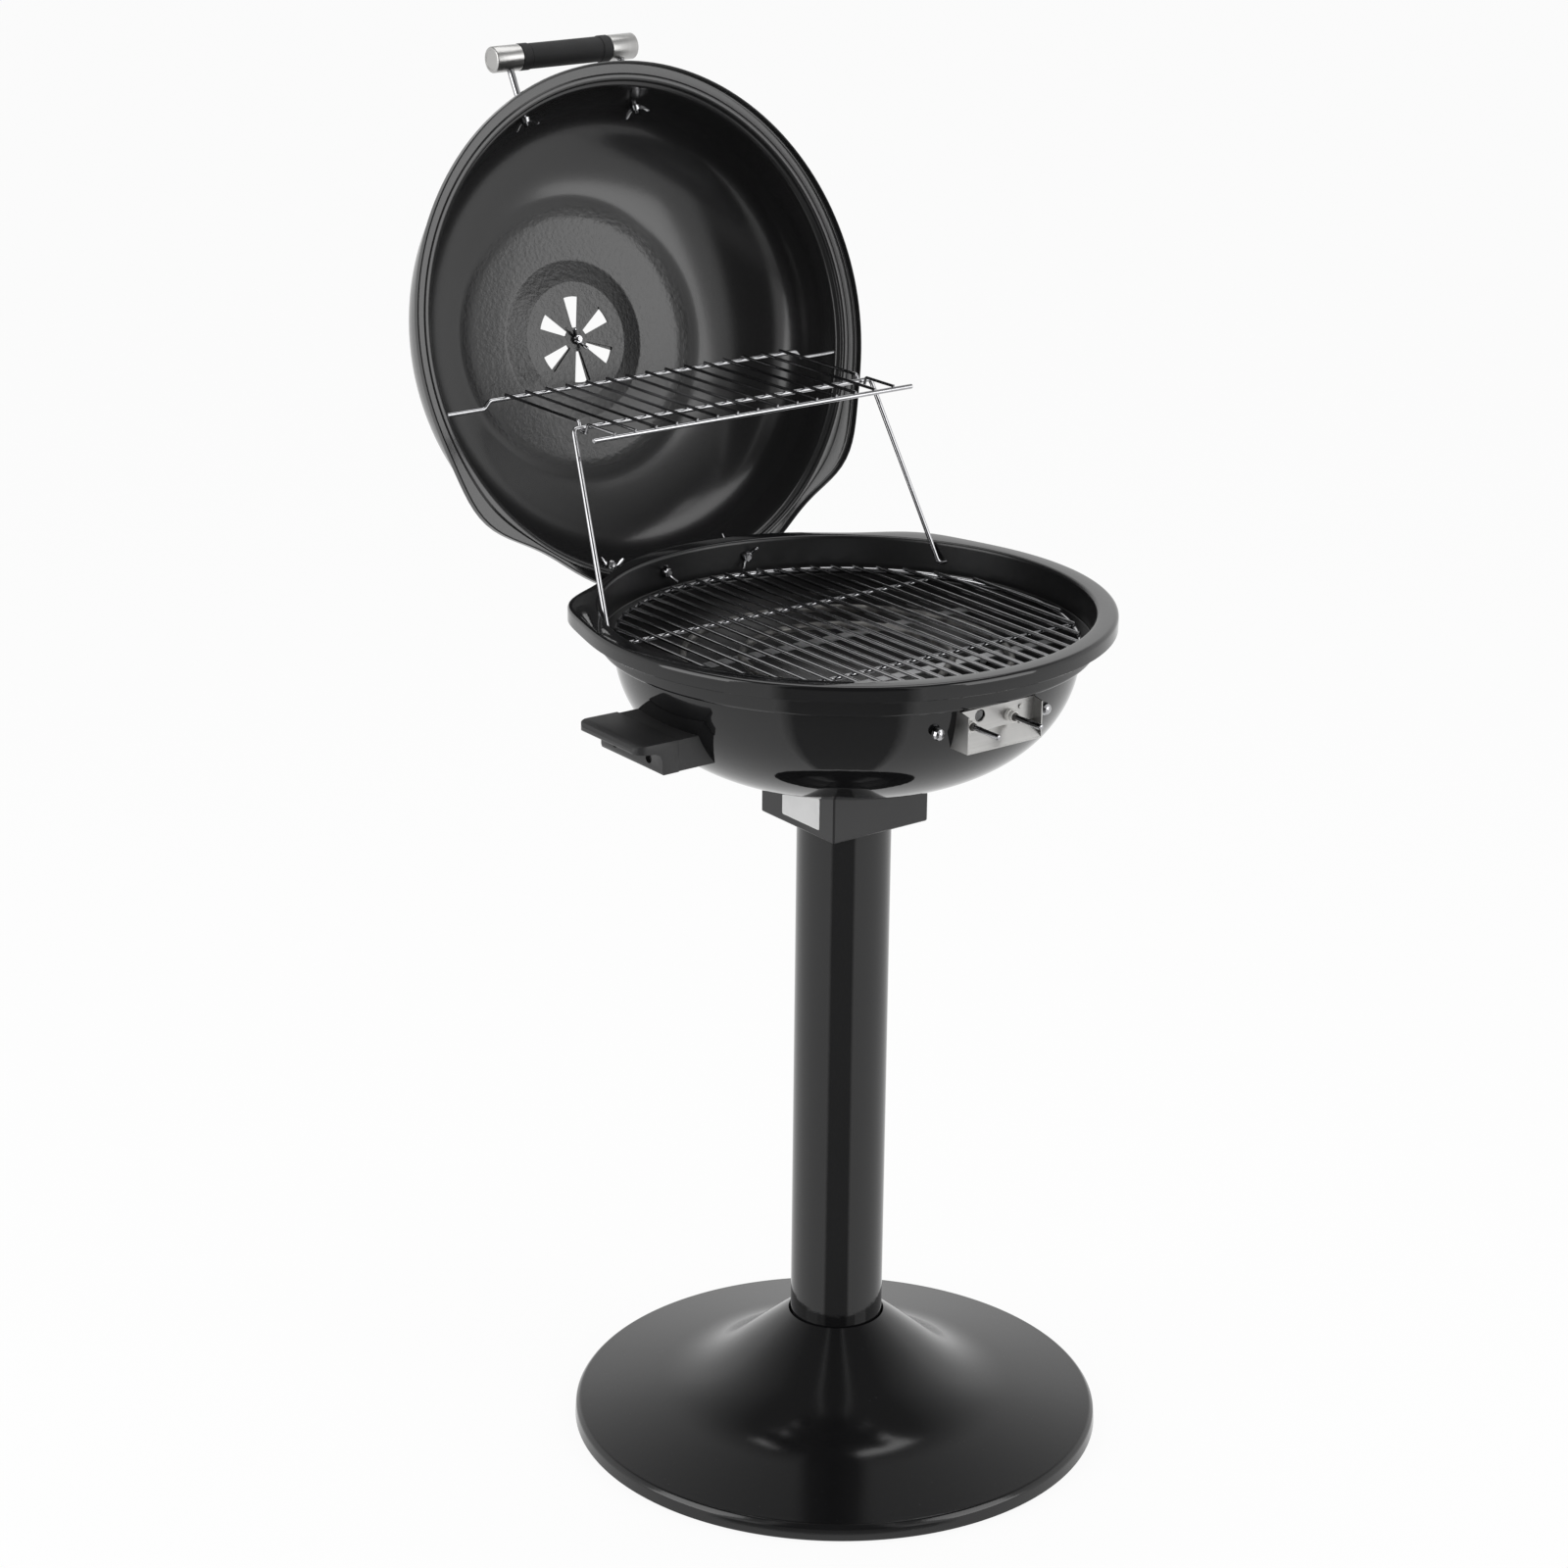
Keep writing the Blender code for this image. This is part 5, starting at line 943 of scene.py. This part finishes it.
# Camera and studio
def place_camera():
    back = NEAR * math.cos(CAMERA_ELEVATION) + Vector((0, 0, math.sin(CAMERA_ELEVATION)))
    ahead = -back
    right = ahead.cross(Vector((0, 0, 1))).normalized()
    up = right.cross(ahead)
    pan, tilt = math.atan2(PAN_PIXELS, FOCAL_PIXELS), math.atan2(TILT_PIXELS, FOCAL_PIXELS)
    panned = ahead * math.cos(pan) - right * math.sin(pan)
    right = right * math.cos(pan) + ahead * math.sin(pan)
    tilted = panned * math.cos(tilt) + up * math.sin(tilt)
    up = up * math.cos(tilt) - panned * math.sin(tilt)
    across = right * math.cos(CAMERA_ROLL) + up * math.sin(CAMERA_ROLL)
    upward = up * math.cos(CAMERA_ROLL) - right * math.sin(CAMERA_ROLL)
    data = bpy.data.cameras.new("photo_camera")
    data.sensor_width = 36.0
    data.lens = FOCAL_PIXELS / IMAGE_SIZE * data.sensor_width
    data.clip_end = 100.0
    camera = bpy.data.objects.new("photo_camera", data)
    bpy.context.scene.collection.objects.link(camera)
    place = Vector((0, 0, LOOK_HEIGHT)) + back * CAMERA_DISTANCE
    columns = [(*axis, 0) for axis in (across, upward, -tilted)] + [(*place, 1)]
    camera.matrix_world = Matrix(columns).transposed()
    bpy.context.scene.camera = camera


def soft_light(name, place, target, width, height, power):
    data = bpy.data.lights.new(name, "AREA")
    data.shape = "RECTANGLE"
    data.size, data.size_y, data.energy = width, height, power
    lamp = bpy.data.objects.new(name, data)
    lamp.location = place
    lamp.rotation_mode = "QUATERNION"
    lamp.rotation_quaternion = (Vector(target) - Vector(place)).to_track_quat("-Z", "Y")
    lamp.visible_camera = False
    bpy.context.scene.collection.objects.link(lamp)


def seen_rays(tree):
    """1 for rays that show the surroundings to the camera, straight or by a reflection, and 0 for light."""
    path = tree.nodes.new("ShaderNodeLightPath")
    straight, mirrored, through = (Value(tree, path.outputs["Is %s Ray" % word])
                                   for word in ("Camera", "Glossy", "Transmission"))
    return straight + mirrored + through


def mix_shaders(tree, share, first, second):
    mixed = tree.nodes.new("ShaderNodeMixShader")
    for place, socket in zip(mixed.inputs, (share.socket, first, second)):
        tree.links.new(socket, place)
    return mixed.outputs[0]


def floor_finish():
    """Pale floor that shows white to the camera and in reflections, and keeps a soft shadow."""
    finish = Finish("pale_floor", specular=0.2)
    cloud = finish.noise(2.0, 2.0)
    finish.colour(cloud, (0.84, 0.84, 0.84), (0.87, 0.87, 0.87))
    finish.roughness(0.7 + cloud * 0.05)
    glow = finish.node("Emission", {}, {"Color": (1, 1, 1, 1), "Strength": 1.0})
    seen = seen_rays(finish.tree) * 0.93
    mixed = mix_shaders(finish.tree, seen, finish.shader.outputs[0], glow.outputs[0])
    finish.tree.links.new(mixed, finish.tree.nodes["Material Output"].inputs["Surface"])
    return finish.material


def dark_card_finish():
    """Dark cloth in front of the grill that fades to white at its two sides."""
    finish = Finish("dark_card")
    apart = finish.node("SeparateXYZ", {}, {0: finish.coordinates})
    x, y, z = (Value(finish.tree, apart.outputs[k]) for k in range(3))
    turned = x.join("ARCTAN2", x * NEAR.y - y * NEAR.x, x * NEAR.x + y * NEAR.y)
    aside = turned.join("ABSOLUTE", turned)
    shade = 0.27 - z.above(0.0, 0.6) * 0.19
    bright = shade + (1 - shade) * aside.above(math.radians(24.0), math.radians(31.0))
    tone = finish.node("CombineColor", {}, {0: bright, 1: bright, 2: bright})
    glow = finish.node("Emission", {}, {"Color": tone.outputs[0], "Strength": 1.0})
    finish.tree.links.new(glow.outputs[0], finish.tree.nodes["Material Output"].inputs["Surface"])
    return finish.material


def fan_angles():
    """Directions that the dark card covers, either side of the way to the camera."""
    middle, half = math.atan2(NEAR.y, NEAR.x), math.radians(CARD_HALF_ANGLE)
    return [middle + half * (step / 12 - 1) for step in range(25)]


def dark_fan():
    """Cloth that lies on the floor, rises behind the camera and leans over towards the grill."""
    bm = bmesh.new()
    rows = [[bm.verts.new((radius * math.cos(a), radius * math.sin(a), height)) for a in fan_angles()]
            for radius, height in ((0.275, -0.0008), (5.0, -0.0008), (5.0, 4.5), (1.0, 6.0))]
    for low, high in zip(rows, rows[1:]):
        for k in range(len(low) - 1):
            bm.faces.new((low[k], low[k + 1], high[k + 1], high[k]))
    return bm


def build_studio():
    world = bpy.data.worlds.new("studio")
    world.use_nodes = True
    tree = world.node_tree
    ambient = tree.nodes["Background"]
    ambient.inputs["Color"].default_value = (1, 1, 1, 1)
    ambient.inputs["Strength"].default_value = AMBIENT_LIGHT
    wall, ceiling = tree.nodes.new("ShaderNodeBackground"), tree.nodes.new("ShaderNodeBackground")
    wall.inputs["Color"].default_value = (1, 1, 1, 1)
    ceiling.inputs["Color"].default_value = (CEILING_GREY, CEILING_GREY, CEILING_GREY, 1)
    place, apart = tree.nodes.new("ShaderNodeTexCoord"), tree.nodes.new("ShaderNodeSeparateXYZ")
    tree.links.new(place.outputs["Generated"], apart.inputs[0])
    upward = Value(tree, apart.outputs["Z"]).above(0.40, 0.85)
    shown = mix_shaders(tree, upward, wall.outputs[0], ceiling.outputs[0])
    whole = mix_shaders(tree, seen_rays(tree), ambient.outputs[0], shown)
    tree.links.new(whole, tree.nodes["World Output"].inputs["Surface"])
    bpy.context.scene.world = world
    floor = lathe([(0, -0.002), (40.0, -0.002), (40.0, -0.02), (0, -0.02)], 96)
    mesh = mesh_from(floor, "floor")
    mesh.materials.append(floor_finish())
    ground = bpy.data.objects.new("floor", mesh)
    card_mesh = mesh_from(dark_fan(), "dark_card")
    card_mesh.materials.append(dark_card_finish())
    card = bpy.data.objects.new("dark_card", card_mesh)
    for item in (ground, card):
        bpy.context.scene.collection.objects.link(item)
    for switch in ("visible_camera", "visible_diffuse", "visible_shadow", "visible_transmission"):
        setattr(card, switch, False)
    for name, near, aside, height, width, length, power in SOFTBOXES:
        place = NEAR * near + SIDE * aside + Vector((0, 0, height))
        soft_light(name, place, LIGHT_TARGET, width, length, power)


def main():
    finishes = {
        "gloss_black_enamel": gloss_enamel(), "satin_black_paint": satin_paint(),
        "dark_grey_enamel": lid_enamel(), "black_plastic": moulded_plastic(), "black_rubber": grip_rubber(),
        "brushed_steel": brushed_steel("brushed_steel", (8.0, 900.0, 900.0)),
        "turned_steel": brushed_steel("turned_steel", (1400.0, 6.0, 6.0)),
        "chrome_wire": chrome_wire(), "black_zinc_plate": black_zinc(), "zinc_plate": zinc_plate(),
        "element_sheath": element_sheath(), "white_ceramic": white_ceramic(),
        "aluminium_pan": rolled_aluminium(), "bare_label_foil": label_foil(),
    }
    slots = {row["node"]: row["material_slot"] for row in frame["record"]["subparts"]}
    for name, node in frame["nodes"].items():
        node.data.materials.clear()
        node.data.materials.append(finishes[slots[name]])
    make_stand(finishes)
    make_bowl(finishes)
    make_side_handles(finishes)
    make_lid(finishes)
    make_lid_handle(finishes)
    make_main_grate(finishes)
    make_rack(finishes)
    make_element(finishes)
    make_drip_pan(finishes)
    make_wing_nuts(finishes)
    make_label(finishes)
    place_camera()
    build_studio()
    settings = bpy.context.scene.view_settings
    settings.view_transform = "Standard"


main()
